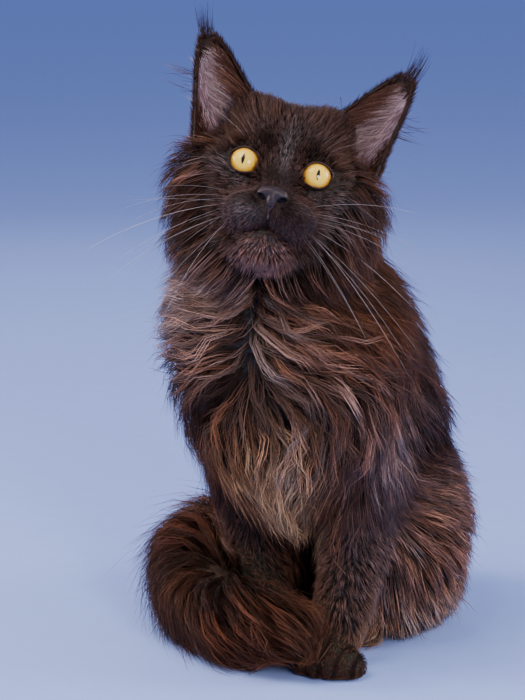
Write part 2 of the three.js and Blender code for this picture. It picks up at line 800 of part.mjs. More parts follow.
const LOOKS = {
  coat: new THREE.MeshStandardMaterial({ color: 0x2a1c17, roughness: 0.85, metalness: 0 }),
  eye: new THREE.MeshStandardMaterial({ color: 0xe0a93a, roughness: 0.1, metalness: 0 }),
  nose: new THREE.MeshStandardMaterial({ color: 0x2b2627, roughness: 0.45, metalness: 0 }),
};

function meshOf(name, shape, material) {
  const { numProp, vertProperties, triVerts } = shape.getMesh();
  const positions = new Float32Array((vertProperties.length / numProp) * 3);
  for (let i = 0; i < positions.length / 3; i++) {
    positions.set(vertProperties.subarray(i * numProp, i * numProp + 3), i * 3);
  }
  const geometry = new THREE.BufferGeometry();
  geometry.setAttribute("position", new THREE.BufferAttribute(positions, 3));
  geometry.setIndex(new THREE.BufferAttribute(triVerts, 1));
  geometry.computeVertexNormals();
  const mesh = new THREE.Mesh(geometry, material);
  mesh.name = name;
  return mesh;
}

// A lock stays where most of it is clear of the parts before it
const MOSTLY = 0.8;
const FLOOR_SIZE = 1200;
const floor = solid(
  new THREE.BoxGeometry(FLOOR_SIZE, FLOOR_SIZE, FLOOR_SIZE).translate(0, 0, -FLOOR_SIZE / 2),
);

const cat = new THREE.Group();
const taken = [floor];
for (const { name, base, locks, cuts, look } of parts) {
  const clear = locks.filter((lock) => without(lock(0), taken).volume() > MOSTLY * lock(0).volume());
  const whole = (grow) => join([base(grow), ...clear.map((lock) => lock(grow))]);
  const shape = without(whole(0), [...(cuts ? cuts() : []), ...taken]);
  cat.add(meshOf(name, largest(shape), LOOKS[look]));
  taken.push(whole(GAP).add(whole(0)));
}

// The origin is under the middle of the whole
const bounds = new THREE.Box3().setFromObject(cat);
const middle = bounds.getCenter(new THREE.Vector3());
cat.position.set(-middle.x, -middle.y, -bounds.min.z);

export default cat;
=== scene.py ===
# %% [markdown]
# # A sitting Maine Coon, life size
#
# This lesson dresses a plain solid cat, built elsewhere in CAD, as a museum-type model: one skin, a deep
# coat of separate hairs, eyes, nose leather, ears and whiskers. Lengths are in millimetres in the cat's own
# frame, where the body faces -Y and its left side is +X, and turn into Blender's metres at the very end.

# %% The frame
import math

import bmesh
import bpy
import numpy as np
from mathutils import Matrix, Vector
from mathutils.kdtree import KDTree


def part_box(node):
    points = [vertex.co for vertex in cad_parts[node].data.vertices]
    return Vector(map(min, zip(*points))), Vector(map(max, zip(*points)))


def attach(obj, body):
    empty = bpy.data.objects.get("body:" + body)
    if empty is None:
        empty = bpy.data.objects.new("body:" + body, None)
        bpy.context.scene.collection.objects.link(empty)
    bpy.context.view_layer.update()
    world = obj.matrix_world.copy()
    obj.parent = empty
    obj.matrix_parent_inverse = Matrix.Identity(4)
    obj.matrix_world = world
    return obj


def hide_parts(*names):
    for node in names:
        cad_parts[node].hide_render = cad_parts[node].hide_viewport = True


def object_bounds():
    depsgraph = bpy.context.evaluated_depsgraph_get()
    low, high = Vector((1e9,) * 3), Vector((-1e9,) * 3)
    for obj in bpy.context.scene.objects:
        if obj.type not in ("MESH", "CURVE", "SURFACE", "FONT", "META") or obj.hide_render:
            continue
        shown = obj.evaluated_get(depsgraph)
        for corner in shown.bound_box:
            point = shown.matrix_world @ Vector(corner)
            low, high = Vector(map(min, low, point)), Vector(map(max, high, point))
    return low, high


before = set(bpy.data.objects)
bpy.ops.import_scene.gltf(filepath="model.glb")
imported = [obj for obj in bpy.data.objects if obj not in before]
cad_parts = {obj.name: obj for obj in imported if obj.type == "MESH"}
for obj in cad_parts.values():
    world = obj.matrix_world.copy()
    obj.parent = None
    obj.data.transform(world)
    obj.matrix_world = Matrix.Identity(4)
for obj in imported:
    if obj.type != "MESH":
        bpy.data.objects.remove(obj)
cad_box = [[float(c) for c in corner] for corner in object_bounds()]
print("solids from the frame:", len(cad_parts), "box in metres:", cad_box)

# %% [markdown]
# ## Where things are
#
# The CAD's origin lies on the floor under the middle of the whole cat. The cat's own frame has its origin
# between the forelegs, which keeps left and right easy to read. The head has a frame of its own too, with
# its origin midway between the eyes, because a face is symmetrical there whichever way the head is turned.

# %% Frames of the cat and of its head
ORIGIN = np.array([27.27, -72.16, 0.0])
MM = 0.001


def to_row(p):
    """From the cat's frame in millimetres to the CAD's in metres."""
    return (np.asarray(p) + ORIGIN) * MM


def turn_about(axis, degrees):
    return np.array(Matrix.Rotation(math.radians(degrees), 3, axis))


HEAD_AT = np.array([12.7, -29.0, 368.0])
HEAD_TURN = turn_about("Z", 28.0) @ turn_about("X", -21.5) @ turn_about("Y", 12.5)


def into_head(p):
    return (p - HEAD_AT) @ HEAD_TURN


def on_head(q):
    return np.asarray(q, float) @ HEAD_TURN.T + HEAD_AT


def head_way(v):
    return np.asarray(v, float) @ HEAD_TURN.T


EYE_ASIDE, EYE_BACK, EYE_RADIUS = 24.6, 0.4, 12.2
EYE_SPLAY = 9  # degrees that each eye looks aside


def eye_turn(side):
    return turn_about("Z", side * EYE_SPLAY)


def into_eye(q, side):
    return (q - np.array([side * EYE_ASIDE, EYE_BACK, 0])) @ eye_turn(side)


def on_eye(e, side):
    return on_head(np.asarray(e, float) @ eye_turn(side).T + np.array([side * EYE_ASIDE, EYE_BACK, 0]))


eye_middles = [np.mean(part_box(name), axis=0) / MM for name in ("eye_right", "eye_left")]
eyes_off = np.mean(eye_middles, axis=0) - on_head([0, EYE_BACK, 0]) - ORIGIN
print("eyes are off their solids by", np.round(eyes_off, 2), "mm")

# %% [markdown]
# ## The body as rounded forms
#
# Under its coat a cat is a chain of rounded masses: skull, cheeks, muzzle, ribcage, belly, thighs and
# tapering limbs. Each is written down as a ball with three radii or as a tapering limb between two points.
# From such a table the distance to the skin is known everywhere, which later tells each hair how deep it
# lies in the coat, and the same table gives Blender the shapes to join.

# %% Balls, limbs and smooth blends between them
def smooth(x, low, high):
    """Nothing below low, one above high, and a soft slope between them."""
    t = np.clip((x - low) / (high - low), 0, 1)
    return t * t * (3 - 2 * t)


def unit(v):
    return v / np.maximum(np.linalg.norm(v, axis=-1, keepdims=True), 1e-9)


def bump(p, centre, reach):
    """One at its centre, and less and less with distance from it."""
    return np.exp(-np.sum(((p - np.array(centre)) / np.array(reach)) ** 2, axis=-1))


def ball(centre, radii, lean=0.0):
    return {"centre": np.array(centre, float), "radii": np.array(radii, float), "turn": turn_about("X", lean)}


def limb(start, end, start_radius, end_radius):
    return {"start": np.array(start, float), "end": np.array(end, float), "radii": (start_radius, end_radius)}


def distance(form, p):
    """How far a point is from the face of a form, less than nothing inside it."""
    if "centre" in form:
        q = (p - form["centre"]) @ form["turn"]
        near = np.sqrt(np.sum((q / form["radii"]) ** 2, axis=-1))
        steep = np.sqrt(np.sum((q / form["radii"] ** 2) ** 2, axis=-1))
        return near * (near - 1) / np.maximum(steep, 1e-6)
    along = form["end"] - form["start"]
    q = p - form["start"]
    t = np.clip(q @ along / (along @ along), 0, 1)
    return np.sqrt(np.sum((q - t[..., None] * along) ** 2, axis=-1)) - (
        form["radii"][0] * (1 - t) + form["radii"][1] * t
    )


def blended(softness, distances):
    """The least of some distances, so the forms are joined, with a soft fillet between them."""
    low = distances[0]
    for d in distances[1:]:
        near = np.maximum(softness - np.abs(low - d), 0)
        low = np.minimum(low, d) - near * near / (4 * softness)
    return low


def carved(softness, solid, cut):
    """The first form with the second one cut out of it."""
    return -blended(softness, [-solid, cut])


# %% The table of forms
def both(make):
    return [make(-1), make(1)]


HEAD_FORMS = [
    ball((0, 40, 12), (42, 46, 40)),
    ball((0, 13, 17), (34, 24, 26)),
    *both(lambda s: ball((s * 25, 26, 40), (15, 18, 13))),
    *both(lambda s: ball((s * 30, 22, -12), (20, 30, 22))),
    *both(lambda s: ball((s * 22, 20, -38), (20, 28, 22))),
    ball((0, 12, -44), (24, 28, 18)),
    limb((0, -2, -3), (0, -24, -25), 13, 9.5),
    *both(lambda s: ball((s * 14.5, -21, -37.5), (16.5, 16, 12.5))),
    ball((0, -25, -37), (10, 11, 10)),
    ball((0, -15, -56), (14.5, 14, 10.5)),
]
NECK_FORMS = [limb((4, 24, 335), (-2, 34, 265), 32, 46), limb((2, 32, 335), (2, 54, 270), 26, 40)]
CHEST_FORMS = [
    ball((-5, 20, 244), (66, 46, 52), 10),
    ball((-4, 16, 192), (52, 38, 50), 10),
    ball((2, 11, 156), (18, 23, 38)),
]
TORSO_FORMS = [
    ball((2, 58, 216), (60, 54, 84), 32),
    ball((2, 100, 144), (62, 56, 78), 32),
    ball((6, 134, 78), (60, 60, 70)),
]


def foreleg(shoulder, elbow, wrist):
    below = (shoulder[0], shoulder[1] - 12, shoulder[2] - 26)
    return [ball(shoulder, (20, 38, 58), -12), limb(below, elbow, 27, 20), limb(elbow, wrist, 18.5, 13.5)]


def haunch(hip, knee, heel):
    return [ball(hip, (30, 56, 66), -14), limb(knee, heel, 19, 15)]


def paw(heel, toes, spread):
    ahead = unit(np.array([toes[0] - heel[0], toes[1] - heel[1], 0.0]))
    aside = np.array([-ahead[1], ahead[0], 0.0])
    forms = [limb(heel, (toes[0], toes[1], 12), 12.5, 13)]
    for n in (-1.5, -0.5, 0.5, 1.5):
        at = np.array([toes[0], toes[1], 8.0]) + aside * n * spread - ahead * (abs(n) * 4 - 9)
        forms.append(ball(at, (8.2, 12, 10.4)))
    return forms


TAIL_PATH = np.array([
    (2, 186, 34), (-38, 195, 37), (-82, 171, 40), (-104, 128, 46), (-104, 80, 48),
    (-90, 36, 42), (-64, 7, 39), (-26, -18, 35), (14, -20, 28),
], float)
TAIL_BONE = np.array([12, 11.5, 11, 10.5, 10, 9, 8, 6.5, 5])
TAIL_COAT = np.array([34, 35, 36, 37, 37, 34, 34, 32, 24], float)


def along_curve(points, per_span):
    """A Catmull-Rom curve through the points, sampled evenly in each span."""
    padded = np.vstack([2 * points[0] - points[1], points, 2 * points[-1] - points[-2]])
    t = np.arange(per_span)[:, None] / per_span
    spans = [
        0.5 * (2 * b + (c - a) * t + (2 * a - 5 * b + 4 * c - d) * t**2 + (3 * b - a - 3 * c + d) * t**3)
        for a, b, c, d in zip(padded, padded[1:], padded[2:], padded[3:])
    ]
    return np.vstack([*spans, points[-1:]])


TAIL_STEPS = 3
tail_line = along_curve(TAIL_PATH, TAIL_STEPS)
tail_s = np.linspace(0, len(TAIL_PATH) - 1, len(tail_line))
tail_bone = np.interp(tail_s, np.arange(len(TAIL_PATH)), TAIL_BONE)
tail_coat = np.interp(tail_s, np.arange(len(TAIL_PATH)), TAIL_COAT)
TAIL_FORMS = [limb(a, b, r, q) for a, b, r, q in zip(tail_line, tail_line[1:], tail_bone, tail_bone[1:])]

KNEES = {"haunch_right": (-50, 68, 66), "haunch_left": (56, 74, 62)}
REGIONS = {
    "head": (10, HEAD_FORMS),
    "neck": (20, NECK_FORMS),
    "chest": (24, CHEST_FORMS),
    "torso": (30, TORSO_FORMS),
    "haunch_right": (22, haunch((-42, 104, 76), KNEES["haunch_right"], (-52, 140, 26))),
    "haunch_left": (22, haunch((50, 100, 78), KNEES["haunch_left"], (52, 136, 28))),
    "foreleg_right": (16, foreleg((-42, 30, 212), (-54, 46, 130), (-37, 42, 38))),
    "foreleg_left": (16, foreleg((42, 26, 214), (44, 50, 132), (40, 18, 38))),
    "forepaw_right": (5, paw((-37, 42, 22), (-35, 18, 12), 9)),
    "forepaw_left": (5, paw((40, 18, 22), (45, -11, 12), 11.2)),
    "hindpaw_right": (5, paw((-52, 132, 16), (-50, 58, 12), 8.6)),
    "hindpaw_left": (5, paw((48, 136, 16), (29, 66, 12), 8.6)),
    "tail": (3, TAIL_FORMS),
}
NAMES = list(REGIONS)
print("forms in the table:", sum(len(forms) for _, forms in REGIONS.values()))

# %% [markdown]
# ## Folds of the face
#
# The lids stand round each eye as a soft ring, and the mouth is a groove that runs down from the nose and
# out to both sides. They are too fine for whole balls, so they are added to the head's distance and taken
# from it directly.

# %% Lids
EYE_WIDE, EYE_TALL = 10.2, 8.6  # half of the opening
LID_AT, LID_THICK = 1.33, 3.7  # the lid's middle, where the edge of the opening is 1, and its radius
OPENING_AT = 1.14


def from_eye(e):
    """How far a point is from the middle of the eye, where the edge of the opening is 1."""
    return np.sqrt((e[..., 0] / EYE_WIDE) ** 2 + (e[..., 2] / EYE_TALL) ** 2)


def lid_ring(q, side):
    e = into_eye(q, side)
    return np.sqrt(((from_eye(e) - LID_AT) * 9.6) ** 2 + (e[..., 1] + 3.2) ** 2) - LID_THICK


def eye_opening(q, side):
    """A cup that widens forwards from the edge of the lids."""
    e = into_eye(q, side)
    widening = 0.045 * np.maximum(0, -e[..., 1] - 6)
    return np.maximum((from_eye(e) - OPENING_AT - widening) * 9, e[..., 1] + 1)


def head_distance(p):
    q = into_head(p)
    low = blended(10, [distance(form, q) for form in HEAD_FORMS])
    low = blended(7, [low, lid_ring(q, -1), lid_ring(q, 1)])
    return carved(2.5, carved(2.5, low, eye_opening(q, -1)), eye_opening(q, 1))


# %% Mouth
MOUTH_DEEP, MOUTH_WIDE = 2.2, 1.8
NOT_ON_FACE = 99


def mouth_gap(q):
    """How far, seen from the front, a point of the face is from the mouth line or the groove above it."""
    x, z = np.abs(q[..., 0]), q[..., 2]
    line = np.hypot(np.maximum(x - 22, 0), z + 46 + 7 * (1 - np.exp(-x / 8)) + 0.08 * x)
    groove = np.hypot(x, np.maximum(np.maximum(z + 33, -46 - z), 0))
    return np.where(q[..., 1] < -4, np.minimum(line, groove), NOT_ON_FACE)


def region_distance(name, p):
    softness, forms = REGIONS[name]
    if name == "head":
        gap = mouth_gap(into_head(p))
        return head_distance(p) + MOUTH_DEEP * np.exp(-((gap / MOUTH_WIDE) ** 2))
    return blended(softness, [distance(form, p) for form in forms])


# %% [markdown]
# ## How deep the coat is
#
# A Maine Coon's coat is a few millimetres deep on the face and paws, and over thirty on the ruff, the chest
# and the tail. The outer face of the coat is the skin moved out by that depth, region by region, and blended.
# Where the coat is long, its lower half is a dense woolly undercoat that no eye can look into, so
# the one skin that is modelled lies on top of that wool there, and on the bare skin of the face and legs.

# %% Depth of the coat in each region
FULL_CHEEKS = [  # place in the head's frame, reach, how much deeper
    ((62, 35, -36), 24, 8),
    ((-58, 30, -14), 18, 5),
]


def head_depth(p):
    q = into_head(p)
    muzzle = 1 - smooth(q[..., 1], -22, -8)
    chin = 1 - smooth(q[..., 2], -70, -50)
    behind = smooth(q[..., 1] + 0.5 * np.abs(q[..., 0]) - 0.8 * np.maximum(0, q[..., 2]), 0, 50)
    low = 1 - smooth(q[..., 2], 0, 44)
    fuller = sum(more * bump(q, at, reach) for at, reach, more in FULL_CHEEKS)
    return 5 - 3.4 * muzzle + 4 * chin + 28 * behind * low + fuller


def nearest_stop(p):
    """The number of the stop on the tail's line that is nearest."""
    return np.argmin(np.stack([np.linalg.norm(p - stop, axis=-1) for stop in tail_line]), axis=0)


def tail_depth(p):
    return (tail_coat - tail_bone)[nearest_stop(p)]


def to_photo_right(p, behind):
    """How far a point is towards the right of the photo, from a place so far behind the forelegs."""
    return 0.88 * p[..., 0] + 0.47 * (p[..., 1] - behind)


def neck_depth(p):
    return 26 - 18 * smooth(to_photo_right(p, 35), 5, 42)


def chest_depth(p):
    over_elbow = bump(p, (-52, 12, 208), (22, 40, 24))
    behind = smooth(to_photo_right(p, 0), 20, 55) * smooth(p[..., 2], 235, 272)
    return 30 - 12 * (1 - smooth(p[..., 2], 110, 165)) + 9 * over_elbow - 15 * behind


def torso_depth(p):
    flank = smooth(to_photo_right(p, 100), 22, 55) * (1 - smooth(p[..., 2], 135, 170))
    return 22 - 7 * flank


def haunch_depth(p):
    low, high = 1 - smooth(p[..., 2], 40, 75), smooth(p[..., 2], 90, 125)
    return 18 - 9 * (1 - smooth(p[..., 1], 40, 78)) - 4 * low - 4 * high


def even_depth(deep):
    return lambda p: np.full(len(p), deep)


DEPTH = {
    "head": head_depth, "neck": neck_depth, "chest": chest_depth, "torso": torso_depth, "tail": tail_depth,
}
DEPTH |= {name: haunch_depth for name in NAMES if "haunch" in name}
DEPTH |= {name: even_depth(10.0) for name in NAMES if "foreleg" in name}
DEPTH |= {name: even_depth(3.5) for name in NAMES if "paw" in name}

# %% Skin and outer face of the coat
UNDERCOAT = 0.5  # the wool's share of a long coat's depth


def layers(p):
    """Every region's distance to the top of its woolly undercoat and to the outer face of its coat."""
    bare = np.stack([region_distance(name, p) for name in NAMES])
    deep = np.stack([DEPTH[name](p) for name in NAMES])
    return bare - deep * UNDERCOAT * smooth(deep, 6, 15), bare - deep


def skin_distance(p):
    return blended(9, list(layers(p)[0]))


def coat_distance(p):
    return blended(8, list(layers(p)[1]))


CORNERS = np.array([(1, -1, -1), (-1, -1, 1), (-1, 1, -1), (1, 1, 1)], float)


def outward(field, p, reach=0.6):
    """The way straight out of a form: four readings round each point are enough for it."""
    readings = [field(p + corner * reach)[:, None] * corner for corner in CORNERS]
    return unit(sum(readings))


# %% [markdown]
# ## One skin
#
# On the real cat the skin runs without a seam from nose to tail. Sculpting it by hand would work, but the
# table of forms is already there: a sphere or a cone for each entry, melted together by the Remesh
# modifier's voxels, and then each vertex moved straight out or in until it lies on the blended skin.

# %% Spheres and cones joined
def add_form(bm, form, place):
    if "centre" in form:
        own = Matrix.Translation(form["centre"]) @ Matrix(form["turn"].tolist()).to_4x4()
        own = own @ Matrix.Diagonal((*form["radii"], 1))
        bmesh.ops.create_icosphere(bm, subdivisions=3, radius=1, matrix=place @ own)
        return
    start, end = Vector(form["start"]), Vector(form["end"])
    way = end - start
    turn = way.to_track_quat("Z", "Y").to_matrix().to_4x4()
    middle = Matrix.Translation((start + end) / 2) @ turn
    bmesh.ops.create_cone(
        bm, cap_ends=True, segments=24, radius1=form["radii"][0], radius2=form["radii"][1],
        depth=way.length, matrix=place @ middle,
    )
    for at, radius in zip((start, end), form["radii"]):
        bmesh.ops.create_icosphere(bm, subdivisions=2, radius=radius, matrix=place @ Matrix.Translation(at))


def new_object(name, bm=None):
    mesh = bpy.data.meshes.new(name)
    if bm:
        bm.to_mesh(mesh)
        bm.free()
    piece = bpy.data.objects.new(name, mesh)
    bpy.context.scene.collection.objects.link(piece)
    return piece


head_place = Matrix.Translation(HEAD_AT) @ Matrix(HEAD_TURN.tolist()).to_4x4()
in_row = Matrix.Scale(MM, 4) @ Matrix.Translation(ORIGIN)
forms_mesh = bmesh.new()
for name, (_, forms) in REGIONS.items():
    place = in_row @ head_place if name == "head" else in_row
    for form in forms:
        add_form(forms_mesh, form, place)
skin = new_object("cat_skin", forms_mesh)


# %% Melted together and moved onto the skin
def apply_modifiers(piece):
    evaluated = piece.evaluated_get(bpy.context.evaluated_depsgraph_get())
    mesh = bpy.data.meshes.new_from_object(evaluated)
    piece.modifiers.clear()
    piece.data = mesh
    return mesh


def vertices_of(mesh):
    flat = np.empty(len(mesh.vertices) * 3)
    mesh.vertices.foreach_get("co", flat)
    return flat.reshape(-1, 3)


def move_vertices(mesh, points):
    mesh.vertices.foreach_set("co", np.asarray(points, float).ravel())
    mesh.update()


def shade_smooth(mesh):
    mesh.polygons.foreach_set("use_smooth", np.ones(len(mesh.polygons), bool))


def add_melt(piece, voxel):
    melt = piece.modifiers.new("melt", "REMESH")
    melt.mode = "VOXEL"
    melt.voxel_size = voxel * MM


SKIN_VOXEL, SKIN_ROUNDS, SOLE_HEIGHT = 2.3, 3, 1.0
add_melt(skin, SKIN_VOXEL)
apply_modifiers(skin)
points = vertices_of(skin.data) / MM - ORIGIN
for _ in range(SKIN_ROUNDS):
    points -= skin_distance(points)[:, None] * outward(skin_distance, points)
points[:, 2] = np.maximum(points[:, 2], SOLE_HEIGHT)
move_vertices(skin.data, to_row(points))
shade_smooth(skin.data)
print("skin:", len(skin.data.polygons), "faces")

# %% [markdown]
# ## An unwrap of the skin
#
# Every hair is painted from its root's place on the skin, so the skin needs a flat map. Smart UV Project
# cuts it into islands by the way its faces look.

# %% Unwrap
skin.data.uv_layers.new(name="OFBake")
bpy.context.view_layer.objects.active = skin
skin.select_set(True)
bpy.ops.object.mode_set(mode="EDIT")
bpy.ops.mesh.select_all(action="SELECT")
bpy.ops.uv.smart_project(angle_limit=math.radians(72), island_margin=0.001)
bpy.ops.object.mode_set(mode="OBJECT")

# %% Corners of the skin that roots are picked from
skin.data.calc_loop_triangles()
count = len(skin.data.loop_triangles)
tri_vertices = np.empty(count * 3, int)
skin.data.loop_triangles.foreach_get("vertices", tri_vertices)
tri_loops = np.empty(count * 3, int)
skin.data.loop_triangles.foreach_get("loops", tri_loops)
uv = np.empty(len(skin.data.loops) * 2)
skin.data.uv_layers["OFBake"].data.foreach_get("uv", uv)
tri_vertices, tri_loops, uv = tri_vertices.reshape(-1, 3), tri_loops.reshape(-1, 3), uv.reshape(-1, 2)
corner = points[tri_vertices]
tri_area = np.linalg.norm(np.cross(corner[:, 1] - corner[:, 0], corner[:, 2] - corner[:, 0]), axis=1) / 2
tri_middle = corner.mean(axis=1)
tips_here = layers(tri_middle)[1]
print("skin area:", round(tri_area.sum() / 1e6, 3), "square metres")

# %% [markdown]
# ## Which way the coat lies
#
# Fur grows away from the nose over the face, out and down from the cheeks, down the chest from a parting
# under the chin, back and down over the flanks, in a fan from the knee and towards the toes. On the tail it
# follows the tail to its tip, and fans out round one whorl where the tail bends in front of the paws.

# %% Lie of the coat in each region
WHORL = np.array([-43, 8, 61.0])
NOSE_TIP = np.array([0, -42, -28.0])


def chest_lie(p):
    high = smooth(p[:, 2], 150, 245)
    side = np.clip((p[:, 0] + 4) / 26, -1, 1)
    parted = side * np.where(side < 0, 1.9, 1.2)
    gathered = np.clip((14 - p[:, 0]) * 0.02, -0.5, 0.5)
    sweep = parted * high + gathered * (1 - high)
    return np.stack([sweep, 0.2 * np.abs(side) * high, -(0.42 * high + 1.1 * (1 - high))], axis=1)


def neck_lie(p):
    front = (1 - smooth(p[:, 1], 15, 45))[:, None]
    back = np.stack([p[:, 0] * 0.012, np.full(len(p), 0.4), np.full(len(p), -0.9)], axis=1)
    return chest_lie(p) * front + back * (1 - front)


def head_lie(p):
    q = into_head(p)
    face = unit(q - NOSE_TIP)
    cheek = np.stack([np.sign(q[:, 0]) * 0.6, np.full(len(q), 0.55), np.full(len(q), -0.75)], axis=1)
    deep = smooth(head_depth(p), 7, 20)[:, None]
    way = face * (1 - deep) + cheek * deep
    for side in (-1, 1):
        e = into_eye(q, side)
        near = np.exp(-((np.hypot(e[:, 0], e[:, 2]) / 15) ** 2)) * (e[:, 1] < 4)
        way = way + near[:, None] * (unit(e * np.array([1, 0, 1])) @ eye_turn(side).T) * 1.4
    return head_way(way)


def tail_lie(p):
    near = nearest_stop(p)
    tangent = unit(np.gradient(tail_line, axis=0))[near]
    out = unit(p - tail_line[near])
    fan = 0.92 * np.exp(-((np.linalg.norm(p - WHORL, axis=1) / 105) ** 3))[:, None]
    return (tangent * 0.8 + out * 0.45) * (1 - fan) + (unit(p - WHORL) + tangent * 0.2) * fan


def even_way(*way):
    return lambda p: np.tile(np.array(way, float), (len(p), 1))


def haunch_lie(knee):
    def lie(p):
        away = unit((p - np.array(knee) - np.array([0, -50, 50])) * np.array([0, 1, 1]))
        down = -0.2 - 0.4 * smooth(p[:, 2], 8, 60)
        return away * 0.7 + np.stack([0 * down, 0.25 + 0 * down, down], axis=1)
    return lie


LIE = {
    "head": head_lie, "neck": neck_lie, "chest": chest_lie, "tail": tail_lie,
    "torso": even_way(0, 0.5, -0.87),
}
LIE |= {name: haunch_lie(knee) for name, knee in KNEES.items()}
LIE |= {name: even_way(0, 0.28, -1) for name in NAMES if "foreleg" in name}
LIE |= {name: even_way(0, -0.8, -0.45) for name in NAMES if "paw" in name}


def weights(tips):
    """How much each region has to say at a point: the one whose coat reaches furthest out has most."""
    w = np.exp(-np.clip(tips - tips.min(axis=0), 0, 60) / 4)
    return w / w.sum(axis=0)


def coat_lie(p, w):
    return sum(w[i][:, None] * unit(LIE[name](p)) for i, name in enumerate(NAMES))


# %% [markdown]
# ## Locks, and the hairs in them
#
# Hair doesn't stand evenly: neighbours cling together into locks, and each lock swings in a shallow wave.
# A few thousand guides are therefore grown first. Each leaves the skin, rises to its own level in the coat
# and then follows the lie over the coat's outer face. Hairs are laid round their nearest guide and drawn
# in towards it at their tips. Blender's own hair curves could do the same, but a mesh of thin closed blades
# is a shape that every program can show.

# %% Roots picked on the skin
rng = np.random.default_rng(2718)


def pick_roots(number, weight):
    chance = tri_area * weight
    tri = rng.choice(count, size=number, p=chance / chance.sum())
    a, b = rng.random(number), rng.random(number)
    over = a + b > 1
    a[over], b[over] = 1 - a[over], 1 - b[over]
    share = np.stack([1 - a - b, a, b], axis=1)[:, :, None]
    return (corner[tri] * share).sum(axis=1), (uv[tri_loops[tri]] * share).sum(axis=1)


# %% Guides grown over the coat
GUIDE_STEPS = 11
LOWEST = 2.5  # no guide comes nearer to the floor
FIRM_SHARE, LOOSE_HOLD = 0.7, 0.4  # the last part of a lock isn't held so close to its level


def grow_guides(root, length, level, wave, crest):
    """Paths of GUIDE_STEPS + 1 points, and the way out of the coat at each."""
    deep = np.maximum(-coat_distance(root), 1.0)
    length = np.maximum(length, 1.7 * deep)
    p = root.copy()
    path, outs = [root - outward(skin_distance, root) * 0.6], []
    step = length / GUIDE_STEPS
    phase = rng.random(len(root)) * 2 * np.pi
    wave = wave * (0.5 + rng.random(len(root)))
    astray = (rng.normal(size=len(root)) * (0.05 + 0.06 * wave))[:, None]
    before = 0.0
    for k in range(1, GUIDE_STEPS + 1):
        s = k / GUIDE_STEPS
        out = outward(coat_distance, p)
        outs.append(out)
        way = coat_lie(p, weights(layers(p)[1]))
        way = unit(way - out * np.sum(way * out, axis=1, keepdims=True))
        # a lock rises most near its root, and what is left of each step goes along the coat
        rise = level * (1 - (1 - s) ** 1.9)
        climb = (rise - before) * deep
        before = rise
        flat = np.sqrt(np.maximum(step**2 - climb**2, (0.35 * step) ** 2))
        way = unit(way + np.cross(way, out) * astray)
        # it swings from side to side, once in every crest's length
        side = np.cross(way, out)
        swing = wave * np.cos(2 * np.pi * s * length / crest + phase) * 2 * np.pi * step / crest
        p = p + way * flat[:, None] + side * swing[:, None]
        want = -deep * (1 - rise)
        hold = 1.0 if s < FIRM_SHARE else LOOSE_HOLD
        p = p + out * (hold * (want - coat_distance(p)))[:, None]
        p[:, 2] = np.maximum(p[:, 2], LOWEST)
        path.append(p)
    outs.append(outs[-1])
    return np.stack(path, axis=1), np.stack(outs, axis=1)


# %% Hairs laid round their guides
SHORTEST = 0.7  # of its guide's length


def nearest_of(places, points):
    """For each point, the number of the place that is nearest to it."""
    tree = KDTree(len(places))
    for i, at in enumerate(places):
        tree.insert(at, i)
    tree.balance()
    return np.array([tree.find(at)[1] for at in points])


def lay_hairs(root, guide_root, guide_path, guide_out, rings, clump, stray, lift):
    """Each hair runs beside its nearest guide, is drawn in to it, strays a little and may stand off."""
    nearest = nearest_of(guide_root, root)
    reach = SHORTEST + (1 - SHORTEST) * rng.random(len(root)) ** 0.6
    s = np.linspace(0, 1, rings + 1)[None, :] * reach[:, None] * GUIDE_STEPS
    low = np.minimum(s.astype(int), GUIDE_STEPS - 1)
    t = (s - low)[..., None]
    row = nearest[:, None]
    along = guide_path[row, low] * (1 - t) + guide_path[row, low + 1] * t
    out = guide_out[row, low] * (1 - t) + guide_out[row, low + 1] * t
    share = (s / GUIDE_STEPS)[..., None]
    own = (root - guide_root[nearest])[:, None, :]
    draw = 1 - (clump * (0.65 + 0.35 * rng.random(len(root))))[:, None, None] * share**0.8
    loose = rng.normal(size=(len(root), 1, 3)) * stray * share**1.3
    stand = np.abs(rng.normal(size=(len(root), 1, 1))) ** 1.6 * lift * share**1.7
    return along + own * draw + loose + out * stand, out, nearest


# %% Colours kept on a mesh
def keep_colour(mesh, name, colour):
    """Keeps one colour a vertex, under the name that its material reads."""
    opaque = np.concatenate([colour, np.ones((len(colour), 1))], axis=1)
    mesh.attributes.new(name, "FLOAT_COLOR", "POINT").data.foreach_set("color", opaque.ravel())


# %% Faces of one blade
def blade_faces(rings):
    """Corners of a blade's faces in one row, and where in it each face starts."""
    faces, starts = [], []
    for j in range(rings - 1):
        for c in range(3):
            d = (c + 1) % 3
            starts.append(len(faces))
            faces += [3 * j + c, 3 * j + 3 + c, 3 * j + 3 + d, 3 * j + d]
    last = 3 * (rings - 1)
    for c in range(3):
        starts.append(len(faces))
        faces += [last + c, 3 * rings, last + (c + 1) % 3]
    starts.append(len(faces))
    faces += [0, 1, 2]
    return np.array(faces), np.array(starts)


def triangles_of(rings):
    return 6 * rings - 2


# %% Blades from paths
PROFILE = {  # width at each ring, as a share of the hair's own
    2: (0.9, 0.8),
    3: (0.8, 1.0, 0.7),
    4: (0.75, 1.0, 0.9, 0.6),
    7: (0.8, 1.0, 1.0, 0.9, 0.8, 0.6, 0.4),
}
RIDGE = 0.9  # how far the ridge stands up, beside half of the blade's width
UV_PATCH = 0.003  # what one hair takes of the skin's flat map


